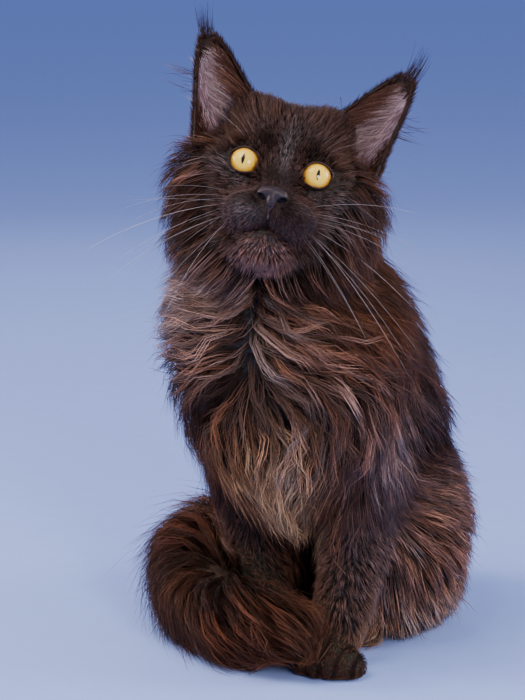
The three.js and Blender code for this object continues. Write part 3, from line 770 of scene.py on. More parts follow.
def hair_piece(name, path, out, width, colour, root_uv):
    """One mesh of closed three-sided blades: two edges and a ridge that looks out of the coat."""
    number, stops = path.shape[:2]
    rings = stops - 1
    along = unit(np.gradient(path, axis=1))
    side = unit(np.cross(along, out))
    ridge = np.cross(side, along)
    half = width[:, None, None] / 2 * np.array(PROFILE[rings])[None, :, None]
    centre = path[:, :rings]
    aside, up = side[:, :rings] * half, ridge[:, :rings] * half * RIDGE
    ring = np.stack([centre + aside, centre + up, centre - aside], axis=2)
    each = 3 * rings + 1
    verts = np.concatenate([ring.reshape(number, 3 * rings, 3), path[:, -1:]], axis=1)
    faces, starts = blade_faces(rings)
    loops = (faces[None, :] + np.arange(number)[:, None] * each).ravel()
    loop_starts = (starts[None, :] + np.arange(number)[:, None] * len(faces)).ravel()
    piece = new_object(name)
    mesh = piece.data
    mesh.vertices.add(number * each)
    mesh.vertices.foreach_set("co", to_row(verts.reshape(-1, 3)).ravel())
    mesh.loops.add(len(loops))
    mesh.loops.foreach_set("vertex_index", loops)
    mesh.polygons.add(len(loop_starts))
    mesh.polygons.foreach_set("loop_start", loop_starts)
    shade_smooth(mesh)
    mesh.update(calc_edges=True)
    share = np.append(np.repeat(np.linspace(0, 1, stops)[:rings], 3), 1.0)
    across = np.append(np.tile([0.5, 0.0, -0.5], rings), 0.0)
    patch = np.stack([across, share - 0.5], axis=1)[faces] * UV_PATCH
    at = np.clip(root_uv[:, None, :] + patch[None], 0, 1)
    mesh.uv_layers.new(name="OFBake").data.foreach_set("uv", at.ravel())
    shade = np.concatenate([np.repeat(colour[:, :rings], 3, axis=1), colour[:, -1:]], axis=1)
    keep_colour(mesh, "hair_colour", shade.reshape(-1, 3))
    print(name, number, "hairs,", number * triangles_of(rings), "triangles")
    return piece


# %% [markdown]
# ## Colours of the coat
#
# The coat is near black at the root and turns brown to rusty towards the tips, most of all where light
# and wear have reached it: the outer cheeks, the flanks and the tail. The lower bib is golden tan, the ruff
# has taupe streaks, and the face and paws stay almost black. Hair colour is a property of each hair, so it
# is kept on the hairs themselves, from root to tip.

# %% Paint, from the way people write it to the way light adds up
def paint(code):
    """A linear colour from an sRGB hex code."""
    s = np.array([int(code[i : i + 2], 16) for i in (1, 3, 5)]) / 255
    return np.where(s <= 0.04045, s / 12.92, ((s + 0.055) / 1.055) ** 2.4)


SOOT_CODE = "#150a08"
SOOT = paint(SOOT_CODE)
FACE_TIP = paint("#5a3f36")
PALE_TIP_AND_SHEEN = paint("#9c8a8b")
MUZZLE_TIP = paint("#5f4745")
CHIN_TIP = paint("#b58676")
CHEEK_TIP = paint("#50301f")
RUFF_TIP_AND_SHEEN = paint("#d2b0a0")
CHEST_TIP = paint("#64381f")
CHEST_DARK = paint("#2c150d")
BIB_TIP = paint("#ffcf9c")
BACK_TIP = paint("#4c2d23")
HAUNCH_TIP = paint("#9a6a52")
BRITCHES_TIP = paint("#dcaf8c")
ARM_PAINTED_SHEEN = paint("#a88c84")
LEG_TIP = paint("#6c4c42")
PAW_TIP = paint("#5f3c2f")
TAIL_TIP = paint("#553223")


# %% Markings and painted light: soft spots of a lighter or darker tip
def spot(p, centre, reach):
    return bump(p, centre, reach)[:, None]


def mix(a, b, share):
    return a * (1 - share) + b * share


def paired(colour, centre, reach, share):
    return [(colour, (side * centre[0], centre[1]), reach, share) for side in (-1, 1)]


FACE_MARKS_AND_PAINTED_LIGHT = [  # colour, aside and up in the head's frame, reach, share
    *paired(MUZZLE_TIP, (30, -20), (14, 12), 0.7),
    # painted highlights: pale sheen on the right cheekbone, under both eyes and beside the left eye
    (PALE_TIP_AND_SHEEN, (-36, -7), (13, 6), 0.4),
    (PALE_TIP_AND_SHEEN, (-22, -16), (7, 8), 0.45),
    (PALE_TIP_AND_SHEEN, (24, -15), (6, 8), 0.25),
    (PALE_TIP_AND_SHEEN, (43, -15), (7, 9), 0.35),
    *paired(PALE_TIP_AND_SHEEN, (19, 27), (7, 8), 0.18),
    *paired(SOOT, (33, 38), (9, 12), 0.6),
    (PALE_TIP_AND_SHEEN, (3, 27), (8, 10), 0.25),
    # painted shade under the brows, over the inner corners of the eyes
    (SOOT, (-13, 15), (8.5, 9.5), 1.0),
    (SOOT, (18, 13), (9, 10), 1.0),
    (SOOT, (0, -12), (13, 7.5), 0.97),
    # painted shade beside and below the nostrils
    *paired(SOOT, (10, -32), (7, 6.5), 1.0),
    # painted sheen down one side of the bridge of the nose
    (PALE_TIP_AND_SHEEN, (2.0, 8), (3.6, 14), 0.85),
    # painted highlight on the right whisker pad, painted shade on the left one, and a painted highlight at
    # the left muzzle's outer edge
    (PALE_TIP_AND_SHEEN, (-14.5, -39.5), (7.5, 4.5), 0.75),
    (SOOT, (17, -39), (11, 6), 0.7),
    (PALE_TIP_AND_SHEEN, (36, -31), (4.5, 12), 0.45),
    (CHIN_TIP, (0, -61), (17, 9), 1.0),
]

BODY_MARKS_AND_PAINTED_LIGHT = [  # colour, place, reach, share
    # the ruff's taupe streaks, painted brighter as a highlight on its right side, towards the side light
    (RUFF_TIP_AND_SHEEN, (-34, -22, 270), (38, 46, 36), 1.0),
    (RUFF_TIP_AND_SHEEN, (20, -20, 215), (44, 46, 34), 0.4),
    (CHEST_DARK, (-36, -20, 218), (30, 40, 22), 1.6),
    (BIB_TIP, (5, -10, 168), (26, 40, 24), 2.0),
    (BIB_TIP, (12, -10, 124), (15, 44, 38), 3.0),
    (BRITCHES_TIP, (66, 84, 18), (50, 62, 32), 1.9),
    (HAUNCH_TIP, on_head((58, 25, -22)), (22, 30, 24), 0.6),
    # painted sheen down the back edge of the left upper arm and on the outside of the left foreleg
    (ARM_PAINTED_SHEEN, (73, 24, 178), (14, 34, 46), 0.9),
    (ARM_PAINTED_SHEEN, (60, 34, 80), (12, 24, 36), 0.6),
]


TOE_WIDTH = 11.2
MIDDLE_OF_TOES = {
    "forepaw_left": (45, -10), "hindpaw_left": (29, 66),
    "forepaw_right": (-35, 18), "hindpaw_right": (-50, 58),
}


# %% Colour of a tip by its place
def tip_colours(p, streak=0.6):
    """Colour of a hair's tip by where its root is, painted highlight and shade too. Some locks take light
    marks more than others.
    """
    w = weights(layers(p)[1])
    q = into_head(p)
    cheek = smooth(head_depth(p), 10, 26)[:, None]
    muzzle = smooth(-q[:, 1], 4, 20)[:, None]
    face = mix(mix(FACE_TIP, MUZZLE_TIP, muzzle), CHEEK_TIP, cheek)
    flat = q[:, [0, 2]]
    for colour, centre, reach, share in FACE_MARKS_AND_PAINTED_LIGHT:
        taken = 1.0 if colour is SOOT else 0.6 + 0.35 * streak
        face = mix(face, colour, share * taken * spot(flat, centre, reach) * (q[:, 1:2] < 20))
    # painted shade along the crease of the mouth and the groove under the nose
    face = mix(face, SOOT, 0.9 * np.exp(-((mouth_gap(q) / 2.6) ** 2))[:, None])
    plain = {
        "head": face,
        "neck": mix(CHEST_TIP, RUFF_TIP_AND_SHEEN, smooth(30 - p[:, 1], 0, 30)[:, None] * 0.5 * streak),
        "chest": CHEST_TIP, "torso": BACK_TIP, "tail": TAIL_TIP,
    }
    plain |= {n: HAUNCH_TIP for n in NAMES if "haunch" in n}
    plain |= {n: LEG_TIP for n in NAMES if "foreleg" in n}
    plain |= {n: PAW_TIP for n in NAMES if "paw" in n}
    colour = sum(w[i][:, None] * plain[name] for i, name in enumerate(NAMES))
    for light, centre, reach, share in BODY_MARKS_AND_PAINTED_LIGHT:
        colour = mix(colour, light, np.minimum(1, share * streak * spot(p, centre, reach)))
    # painted shade in the gaps between the toes
    for name, (aside, ahead) in MIDDLE_OF_TOES.items():
        gap = np.abs((p[:, 0] - aside) % TOE_WIDTH - TOE_WIDTH / 2)
        near = w[NAMES.index(name)] * (p[:, 1] < ahead + 12)
        colour = mix(colour, SOOT, (near * smooth(gap, 3.4, 5.2))[:, None] * 0.85)
    return colour


# %% Colour along each hair
BRIGHTEST = 0.9


def hair_colours(root, path, nearest, level, rooted, uneven):
    """From root to tip along each hair. Deep locks are darker, as painted shade, and every lock and hair
    differs a little.
    """
    light = 0.25 + 0.9 * (0.45 * (1 - uneven) + uneven * rng.random(len(level)) ** 1.2)
    tip = tip_colours(root, light[nearest][:, None])
    # painted shade: locks that lie deeper in the coat are darker, on top of each lock's random tone
    lock = (np.exp(rng.normal(size=len(level)) * 0.42 * uneven) * (level / level.max()) ** 2.0)[nearest]
    own = np.exp(rng.normal(size=len(root)) * (0.12 + 0.24 * uneven))
    warm = (rng.normal(size=len(level)) * 0.1 * uneven)[nearest]
    tint = np.stack([1 + warm, np.ones(len(root)), 1 - warm], axis=1)
    tip = tip * (lock * own)[:, None] * tint
    tip = tip / np.maximum(1, tip.max(axis=1, keepdims=True) / BRIGHTEST)
    share = (np.linspace(0, 1, path.shape[1]) ** rooted)[None, :, None]
    return np.clip(mix(SOOT[None, None, :], tip[:, None, :], share), 0, 1)


WOOL_LIGHTEST, WOOL_SHARE = 0.07, 0.34
wool = np.minimum(tip_colours(points), WOOL_LIGHTEST)
keep_colour(skin.data, "hair_colour", mix(SOOT[None, :], wool, WOOL_SHARE))

# %% [markdown]
# ## The coat, piece by piece
#
# Each row of the table is one piece of the coat: where its hairs root, how many there are, how long, wide,
# wavy and clinging they are, and how many rings a blade needs to bend that much.

# %% Where each piece grows
here = weights(tips_here)
head_q = into_head(tri_middle)
head_deep = head_depth(tri_middle)


def share_of(*kinds):
    return sum(here[i] for i, name in enumerate(NAMES) if any(kind in name for kind in kinds))


BARE_ROUND_EYE = 1.24


def clear_of_eyes(q):
    free = np.ones(len(q))
    for side in (-1, 1):
        e = into_eye(q, side)
        free = np.where((from_eye(e) < BARE_ROUND_EYE) & (e[:, 1] < 6), 0, free)
    return free


def clear_of_nose(q):
    pad = np.hypot(q[:, 0] / 10.4, (q[:, 2] + 27.4) / 7.6) < 1
    lip = (np.abs(q[:, 0]) < 1.4) & (q[:, 2] < -27) & (q[:, 2] > -45)
    return 1.0 - ((pad | lip) & (q[:, 1] < -24))


face_only = share_of("head") * clear_of_eyes(head_q) * clear_of_nose(head_q) * (mouth_gap(head_q) > 1.0)
muzzle_zone = smooth(-head_q[:, 1], -4, 8)
shallow = 1 - smooth(head_deep, 8, 14)
front = 1 - smooth(tri_middle[:, 1], 30, 60)
left = smooth(tri_middle[:, 0], -8, 8)
bib_more = 1 + 1.6 * (1 - smooth(tri_middle[:, 2], 130, 180))
parting = 1 + 2.5 * np.exp(-(((tri_middle[:, 0] + 4) / 13) ** 2) - ((tri_middle[:, 2] - 285) / 32) ** 2)
far_tail = smooth(tri_middle[:, 1], 85, 105)
near_paw = 1 + 1.6 * here[NAMES.index("forepaw_left")]
mane = share_of("neck", "chest")

WHERE = {
    "fur_muzzle": face_only * muzzle_zone * shallow,
    "fur_brow": face_only * (1 - muzzle_zone) * shallow,
    "fur_cheeks": face_only * smooth(head_deep, 8, 16),
    "fur_ruff_left": mane * front * left * bib_more * parting,
    "fur_ruff_right": mane * front * (1 - left) * bib_more * parting,
    "fur_nape": mane * (1 - front),
    "fur_back": share_of("torso"),
    "fur_haunches": share_of("haunch"),
    "fur_legs": share_of("foreleg") * (1 + 0.9 * left),
    "fur_paws": share_of("paw") * near_paw,
    "fur_tail_base": share_of("tail") * far_tail,
    "fur_tail_tip": share_of("tail") * (1 - far_tail),
}

# %% How each piece grows
COAT = [  # name, guides, hairs, length, width, wave, crest, clump, stray, lift, level, rings
    ("fur_muzzle", 2400, 10000, 6.0, 0.3, 0.2, 20, 0.25, 0.4, 0.4, 1.2, 2),
    ("fur_brow", 2200, 9000, 13, 0.33, 0.4, 42, 0.3, 0.9, 0.7, 1.15, 3),
    ("fur_cheeks", 1500, 8400, 33, 0.46, 0.9, 42, 0.42, 1.8, 2.4, 1.05, 3),
    ("fur_ruff_left", 850, 7000, 60, 0.5, 2.7, 42, 0.72, 2.0, 3.5, 1.15, 4),
    ("fur_ruff_right", 900, 7200, 64, 0.5, 2.9, 42, 0.72, 2.0, 3.5, 1.3, 4),
    ("fur_nape", 400, 3100, 50, 0.64, 1.2, 42, 0.6, 2.4, 2.4, 1.05, 3),
    ("fur_back", 1100, 8600, 44, 0.64, 1.0, 42, 0.6, 2.2, 2.4, 1.1, 3),
    ("fur_haunches", 1300, 8000, 38, 0.58, 0.7, 46, 0.42, 2.0, 2.2, 1.1, 3),
    ("fur_legs", 1900, 9000, 19, 0.46, 0.2, 30, 0.25, 0.7, 0.6, 1.25, 2),
    ("fur_paws", 2200, 7500, 4.6, 0.34, 0.1, 42, 0.1, 0.1, 0.1, 0.85, 2),
    ("fur_tail_base", 450, 3900, 62, 0.7, 0.8, 60, 0.6, 2.6, 4.0, 1.3, 3),
    ("fur_tail_tip", 950, 9400, 64, 0.56, 0.35, 60, 0.7, 2.0, 6.0, 1.65, 3),
]
LONGER = {  # how much longer or shorter than the table says, by the place of the root
    "fur_brow": lambda p: 0.5 + 1.0 * smooth(into_head(p)[:, 2], 4, 40),
    "fur_cheeks": lambda p: 1.1 - 0.35 * smooth(into_head(p)[:, 2], -20, 20),
    "fur_legs": lambda p: 0.8 + 1.5 * smooth(p[:, 2], 100, 150),
    "fur_tail_tip": lambda p: 0.75 + 0.35 * smooth(p[:, 0], 20, -30),
}

SLEEK = ("fur_muzzle", "fur_brow", "fur_legs", "fur_paws")
TUFTED = ("fur_tail_base", "fur_tail_tip")


def levels(name, guides, highest):
    """How high in the coat each lock lies: sleek fur is even, and a tail has the deepest gaps."""
    spread = 0.25 if name in SLEEK else 0.9 if name in TUFTED else 0.5
    return highest - spread * rng.random(guides) ** (1.3 if name in TUFTED else 2)


# %% How far it may reach
# a coat may stand a little out of the solids' box, about as far as its loose ends do, and no tip goes further
box_sides = np.subtract(cad_box[1], cad_box[0]) / MM
reach_out = np.minimum(0.03 * box_sides + 8.5, 0.045 * box_sides)
ROOM = np.array([cad_box[0], cad_box[1]]) / MM + np.array([-reach_out, reach_out]) - ORIGIN
FLOOR_GAP = 1.2
OVER_TOES = 15  # the tail's end lies on the forepaw, and doesn't sink into it

# %% The coat is grown
coat_pieces = []
total = 0
for name, guides, hairs, length, width, wave, crest, clump, stray, lift, highest, rings in COAT:
    guide_root, _ = pick_roots(guides, WHERE[name])
    level = levels(name, guides, highest)
    guide_length = length * (0.8 + 0.4 * rng.random(guides))
    if name in LONGER:
        guide_length *= LONGER[name](guide_root)
    guide_path, guide_out = grow_guides(guide_root, guide_length, level, wave, crest)
    root, root_uv = pick_roots(hairs, WHERE[name])
    path, out, nearest = lay_hairs(root, guide_root, guide_path, guide_out, rings, clump, stray, lift)
    over_toes = OVER_TOES * smooth(path[..., 0], -6, 16) * (name in TUFTED)
    path[..., 2] = np.maximum(path[..., 2], FLOOR_GAP + over_toes)
    path = np.clip(path, ROOM[0], ROOM[1])
    rooted, uneven = (0.6, 0.45) if name in SLEEK else (0.75, 1.0)
    colour = hair_colours(root, path, nearest, level, rooted, uneven)
    widths = width * (0.75 + 0.5 * rng.random(hairs))
    coat_pieces.append(hair_piece(name, path, out, widths, colour, root_uv))
    total += hairs * triangles_of(rings)
print("coat:", total, "triangles")

# %% [markdown]
# ## Ears
#
# A cat's ear is a thin cup of gristle, open to the front and pointed. A flat grid is rolled into the cup
# and given its wall with bmesh's solidify. Short fur covers its back, long hairs cross the cup from its
# inner edge, and a tuft carries the tip on.

# %% Ear cups
EAR_HALF, EAR_DEEP, EAR_SUNK, EAR_WALL = 29.5, 22.0, 14.0, 1.7


def ear_frame(side):
    """Root and tip of an ear in the head's frame, and the ways to its tip, to its back and across it."""
    root, tip = np.array([side * 47, 31, 36.0]), np.array([side * 73, 30, 92.0])
    rise = unit(tip - root)
    back = np.array([side * 0.12, 1, 0])
    back = unit(back - rise * (back @ rise))
    return root, tip, rise, back, unit(np.cross(rise, back))


def ear_point(side, t, turn, inset=0.0):
    """A point of the cup: t runs from its sunk base to its tip, turn from edge to edge round its back."""
    root, tip, rise, back, across = ear_frame(side)
    t, turn = np.asarray(t, float), np.asarray(turn, float)
    half = EAR_HALF * (1 - t * 0.97) ** 0.53 * (1 - 0.1 * np.sin(t * 3))
    deep = EAR_DEEP * (1 - t * 0.95) ** 0.8 + 2
    up = (np.linalg.norm(tip - root) + EAR_SUNK) * t - EAR_SUNK
    return (
        root
        + rise * up[..., None]
        + across * (np.sin(turn) * np.maximum(0.4, half - inset))[..., None]
        + back * (np.cos(turn) * np.maximum(0.4, deep - inset) - deep * 0.4)[..., None]
    )


def ear_open(t):
    """The turn of the cup's two edges, which roll round furthest at the foot."""
    return np.radians(105 - 25 * t)


ear_grid = {}


def ear_cup(side, name):
    bm = bmesh.new()
    bmesh.ops.create_grid(bm, x_segments=28, y_segments=30, size=1)
    flat = np.array([v.co for v in bm.verts])
    across, t = flat[:, 0], (flat[:, 1] + 1) / 2
    t = 1 - (1 - t) ** 1.15
    places = on_head(ear_point(side, t * 0.985, across * ear_open(t)))
    for vertex, at in zip(bm.verts, places):
        vertex.co = at
    bmesh.ops.recalc_face_normals(bm, faces=bm.faces)
    middle = Vector(on_head(ear_point(side, 0.5, 0.0)))
    back = Vector(head_way(ear_frame(side)[3]))
    face = min(bm.faces, key=lambda f: (f.calc_center_median() - middle).length)
    if face.normal.dot(back) < 0:
        bmesh.ops.reverse_faces(bm, faces=bm.faces)
    bmesh.ops.solidify(bm, geom=bm.faces[:], thickness=EAR_WALL)
    piece = new_object(name, bm)
    own = vertices_of(piece.data)
    nearest = nearest_of(places, own)
    ear_grid[name] = (t[nearest], across[nearest])
    move_vertices(piece.data, to_row(own))
    shade_smooth(piece.data)
    return piece


ears = [ear_cup(-1, "ear_right_cup"), ear_cup(1, "ear_left_cup")]


# %% Ear skin colours: mauve inside with a painted sheen in the middle, dark at the rim and behind
for side, ear in zip((-1, 1), ears):
    mesh = ear.data
    normal = np.empty(len(mesh.vertices) * 3)
    mesh.vertices.foreach_get("normal", normal)
    normal = normal.reshape(-1, 3) @ HEAD_TURN
    t, across = ear_grid[ear.name]
    inside = smooth(-(normal @ ear_frame(side)[3]), -0.2, 0.25)
    edge = smooth(np.abs(across), 0.62, 0.86)
    # painted sheen: a paler, lilac spot in the middle of the cup's inside
    painted_sheen = spot(np.stack([across * side, t], 1), (-0.2, 0.4), (0.45, 0.3))
    inner = mix(paint("#4d3130"), paint("#c4a0b0"), painted_sheen)
    outer_low = smooth(-across * side, -0.2, 0.6) * (1 - smooth(t, 0.25, 0.5))
    inner_side = smooth(across * side, 0.1, 0.6)
    inner = mix(inner, paint("#2a1713"), np.maximum(0.85 * outer_low, 0.9 * inner_side)[:, None])
    colour = mix(inner, paint("#22140f"), np.maximum(edge, smooth(t, 0.7, 0.86))[:, None])
    keep_colour(mesh, "ear_colour", mix(paint("#140e0d"), colour, inside[:, None]))

# %% [markdown]
# Hairs on the ears grow straight from their roots with a bend, because the cup is too thin for the coat's
# own depth. The fur on the back points to the tip.

# %% Hairs that bend one way
def bent_hairs(root, way, out, length, bow, rings):
    s = np.linspace(0, 1, rings + 1)[None, :, None]
    path = root[:, None] + unit(way)[:, None] * (length[:, None, None] * s)
    path = path + unit(bow)[:, None] * (np.linalg.norm(bow, axis=1) * length)[:, None, None] * s**2
    return path, np.repeat(unit(out)[:, None], rings + 1, axis=1)


def along_hair(dark, light, number, stops, spread):
    tone = np.exp(rng.normal(size=(number, 1, 1)) * spread)
    share = (np.linspace(0, 1, stops) ** 0.8)[None, :, None]
    return np.clip(mix(paint(dark)[None, None], paint(light)[None, None], share) * tone, 0, 1)


def spread_uv(number):
    """Places on the flat map for hairs that don't root on the skin: a small square near its middle."""
    return 0.5 + rng.random((number, 2)) * 0.04


def ear_hairs(name, groups, rings, spread):
    """One piece from groups of hairs that are given in the head's frame."""
    parts = []
    for at, way, out, length, bow, width, dark, light in groups:
        n = len(at)
        ways = [head_way(np.broadcast_to(v, (n, 3))) for v in (way, out)]
        bows = head_way(np.broadcast_to(bow, (n, 3)))
        path, outs = bent_hairs(on_head(at), *ways, length, bows, rings)
        parts.append((path, outs, np.full(n, width), along_hair(dark, light, n, rings + 1, spread)))
    joined = [np.concatenate(items) for items in zip(*parts)]
    return hair_piece(name, *joined, spread_uv(len(joined[0])))


# %% Short fur on the back of the ears and over their rims
def loosely(way, number, spread):
    return way + rng.normal(size=(number, 3)) * spread


def fur_behind(side):
    rise = ear_frame(side)[2]
    n = 2000
    t = rng.random(n) ** 0.9 * 0.97
    turn = rng.random(n) * 2 - 1
    turn = np.sign(turn) * np.abs(turn) ** 0.8 * ear_open(t)
    at = ear_point(side, t, turn, 0.2)
    out = unit(at - ear_point(side, t, turn, 4.0))
    way = loosely(rise + out * 0.14, n, 0.08)
    length = 6.5 * (0.7 + 0.6 * rng.random(n))
    return at, way, out, length, out * 0.05, 0.4, SOOT_CODE, "#3a2620"


def fur_on_rims(side):
    """Short dark fur that rolls over both edges."""
    rise, back, across = ear_frame(side)[2:]
    n = 1200
    t = 0.04 + rng.random(n) * 0.94
    edge = np.where(rng.random(n) < 0.5, -1, 1)
    at = ear_point(side, t, edge * ear_open(t) * (0.86 + 0.14 * rng.random(n)), 2.2 * rng.random(n))
    out = edge[:, None] * across * 0.4 - back
    way = loosely(rise - back * 0.06, n, 0.12)
    length = 4.6 * (0.5 + 0.8 * rng.random(n))
    return at, way, out, length, rise * 0.05, 0.4, SOOT_CODE, "#38241d"


groups = [grow(side) for side in (-1, 1) for grow in (fur_behind, fur_on_rims)]
coat_pieces.append(ear_hairs("fur_ears", groups, 2, 0.2))


# %% Furnishings: hair from the inner edge, across the cup and up in one bow
def outer_ways(side):
    """The ways to an ear's tip and to its back, and the way to the outside of the head."""
    rise, back, across = ear_frame(side)[2:]
    return rise, back, -across * side


def furnishings(side):
    rise, back, outwards = outer_ways(side)
    groups = []
    # dark hair from the edge itself, then silver hair from nearer the middle
    for n, low, high, light in ((520, 0.62, 0.97, "#523329"), (430, 0.05, 0.66, "#bfa3a4")):
        t = 0.02 + rng.random(n) ** 1.2 * 0.72
        turn = side * ear_open(t) * (low + (high - low) * rng.random(n))
        at = ear_point(side, t, turn, 2.2)
        way = loosely(rise * (1.0 - 0.35 * t[:, None]) + outwards * 0.55 - back * 0.3, n, 0.13)
        length = (40 - 32 * t) * (0.5 + 0.6 * rng.random(n))
        bow = rise * 0.1 + outwards * 0.25 + back * 0.16
        groups.append((at, way, -back, length, bow, 0.32, "#1a0f0d", light))
    return groups


# %% Short hair inside the cups
def hair_at_point(side):
    """Short dark hair that closes the point of the cup."""
    rise, back, outwards = outer_ways(side)
    n = 200
    t = 0.74 + rng.random(n) * 0.22
    turn = (rng.random(n) * 2 - 1) * ear_open(t) * 0.95
    at = ear_point(side, t, turn, 1.9)
    way = loosely(rise + outwards * 0.2 - back * 0.2, n, 0.12)
    length = 8 * (0.5 + 0.6 * rng.random(n))
    return at, way, -back, length, outwards * 0.1, 0.4, SOOT_CODE, "#3a241d"


def fine_hair(side):
    """Fine silver hair that lies on the inside of the cup."""
    rise, back, outwards = outer_ways(side)
    n = 800
    t = 0.12 + rng.random(n) * 0.6
    turn = side * (rng.random(n) * 1.1 - 0.55) * ear_open(t)
    at = ear_point(side, t, turn, 2.6)
    way = loosely(rise * 0.9 + outwards * 0.2 - back * 0.2, n, 0.08)
    length = 11 * (0.6 + 0.7 * rng.random(n))
    return at, way, -back, length, rise * 0.1 - back * 0.05, 0.28, "#74595f", "#d6b9c8"


def hair_at_foot(side):
    """Brown fur that fills the foot of the outer edge."""
    rise, back, outwards = outer_ways(side)
    n = 420
    t = -0.05 + rng.random(n) * 0.36
    turn = -side * ear_open(t) * (0.35 + 0.5 * rng.random(n))
    at = ear_point(side, t, turn, 2.0)
    way = loosely(rise * 0.9 + outwards * 0.25 - back * 0.25, n, 0.22)
    length = 11 * (0.5 + 0.6 * rng.random(n))
    bow = rise * 0.1 + back * 0.1 - outwards * 0.3
    return at, way, -back, length, bow, 0.36, SOOT_CODE, "#5c3829"


# %% Tufts that carry the tips on, and a few long hairs at the outer rims
def ear_tuft(side):
    rise, back, outwards = outer_ways(side)
    n = 80
    t = 0.9 + rng.random(n) * 0.085
    turn = (rng.random(n) * 2 - 1) * ear_open(t) * 0.45
    at = ear_point(side, t, turn, 0.4)
    way = loosely(rise + outwards * 0.12, n, 0.07)
    length = 33 * (0.35 + 0.65 * rng.random(n) ** 1.4)
    return at, way, -back, length, outwards * -0.2, 0.3, SOOT_CODE, "#241a1a"


def rim_hairs(side):
    rise, back, outwards = outer_ways(side)
    n = 16
    t = 0.45 + rng.random(n) * 0.25
    at = ear_point(side, t, -side * ear_open(t) * 0.9, 1.2)
    way = loosely(outwards + rise * 0.25, n, 0.14)
    length = 30 * (0.4 + 0.6 * rng.random(n))
    return at, way, -back, length, rise * 0.1 - outwards * 0.1, 0.28, "#2b1d1b", "#6a4a35"


groups = []
for side in (-1, 1):
    groups += furnishings(side)
    groups += [grow(side) for grow in (hair_at_point, fine_hair, hair_at_foot, ear_tuft, rim_hairs)]
coat_pieces.append(ear_hairs("fur_ear_furnishings", groups, 3, 0.5))

# %% [markdown]
# ## Eyes
#
# A cat's eye is nearly a ball, with a clear cornea that covers all of what shows. The iris fills the whole
# opening here, so a sphere with its pole to the front carries it, slightly bulged where the cornea is. The
# place of each vertex in the eye's own frame is kept on the mesh, so that the iris can be painted in rings
# and spokes round its own centre.

# %% Eyeballs
CORNEA_BULGE = 0.055  # of the ball's radius


def eyeball(side, name):
    bm = bmesh.new()
    facing = Matrix.Rotation(math.radians(90), 4, "X")
    bmesh.ops.create_uvsphere(bm, u_segments=72, v_segments=56, radius=EYE_RADIUS, matrix=facing)
    own = np.array([v.co for v in bm.verts])
    ahead = -own[:, 1] / EYE_RADIUS
    own = own * (1 + CORNEA_BULGE * smooth(ahead, 0.5, 0.95))[:, None]
    for vertex, at in zip(bm.verts, on_eye(own, side)):
        vertex.co = to_row(at)
    piece = new_object(name, bm)
    place = piece.data.attributes.new("eye_place", "FLOAT_VECTOR", "POINT")
    place.data.foreach_set("vector", own.ravel())
    shade_smooth(piece.data)
    return piece


eyes = [eyeball(-1, "eyeball_right"), eyeball(1, "eyeball_left")]


# %% Lids: a rim that hugs the ball, swept round the almond opening
def almond(side, turn):
    """The opening's edge: its outer corner is drawn out and up, its inner corner out and down."""
    outer, inner = np.maximum(0, np.cos(turn)) ** 5, np.maximum(0, -np.cos(turn)) ** 5
    x = side * (EYE_WIDE * np.cos(turn) + 0.9 * outer - 1.8 * inner)
    return x, EYE_TALL * np.sin(turn) + 1.4 * outer - 2.8 * inner


LID_PROFILE = [  # scale of the almond, height over the ball
    (0.97, 0.1), (0.99, 1.0), (1.03, 1.7), (1.09, 2.0), (1.16, 1.7),
    (1.23, 0.7), (1.26, -0.9), (1.12, -1.5), (1.0, -0.9),
]
LID_STEPS = 56
LID_OVER_BALL = 1.03
UPPER_LID_FULLER = 0.45


def lid(side, name):
    turn = np.linspace(0, 2 * np.pi, LID_STEPS, endpoint=False)
    x, z = almond(side, turn)
    bm = bmesh.new()
    rings = []
    for scale, high in LID_PROFILE:
        r2 = (x * scale) ** 2 + (z * scale) ** 2
        on_ball = np.sqrt(np.maximum((EYE_RADIUS * LID_OVER_BALL) ** 2 - r2, 22))
        y = -on_ball - high * (1 + UPPER_LID_FULLER * (z > 0) * np.abs(np.sin(turn)))
        places = to_row(on_eye(np.stack([x * scale, y, z * scale], axis=1), side))
        ring = [bm.verts.new(at) for at in places]
        rings.append([bm.edges.new(pair) for pair in zip(ring, ring[1:] + ring[:1])])
    for a, b in zip(rings, rings[1:] + rings[:1]):
        bmesh.ops.bridge_loops(bm, edges=a + b)
    bmesh.ops.recalc_face_normals(bm, faces=bm.faces)
    piece = new_object(name, bm)
    shade_smooth(piece.data)
    return piece


lids = [lid(-1, "lid_right"), lid(1, "lid_left")]

# %% [markdown]
# ## Nose leather
#
# The nose is bare, pebbled skin in the shape of a T with two comma-shaped nostrils under its arms, and its
# foot runs down as the cleft of the lip. A few small forms are melted together with a fine voxel, and the
# nostrils and the cleft are taken from the same distance.

# %% Nose
NOSE_FORMS = [
    ball((0, -36, -24.6), (8.4, 6.2, 3.9)),
    ball((0, -35.5, -29.8), (3.5, 6.2, 5.8)),
    *both(lambda s: ball((s * 6.8, -35, -26.6), (4.1, 5.4, 4.0))),
    limb((0, -36.0, -32.5), (0, -34.6, -42.5), 1.8, 0.9),
]
NOSTRIL_PATH = [(5.2, -42.4, -30.4), (8.2, -40.4, -31.6), (11.6, -37.0, -30.2)]
NOSTRIL_RADII = [2.7, 4.1, 3.1]
CLEFT_FORMS = [
    limb((0, -43.4, -28), (0, -39.4, -34), 0.3, 0.6),
    limb((0, -38.8, -34), (0, -35.4, -46), 0.6, 0.8),
]


def nostril_forms(side):
    path = [(side * x, y, z) for x, y, z in NOSTRIL_PATH]
    return [limb(a, b, r, s) for a, b, r, s in zip(path, path[1:], NOSTRIL_RADII, NOSTRIL_RADII[1:])]


def nose_whole(p):
    return blended(3, [distance(form, into_head(p)) for form in NOSE_FORMS])


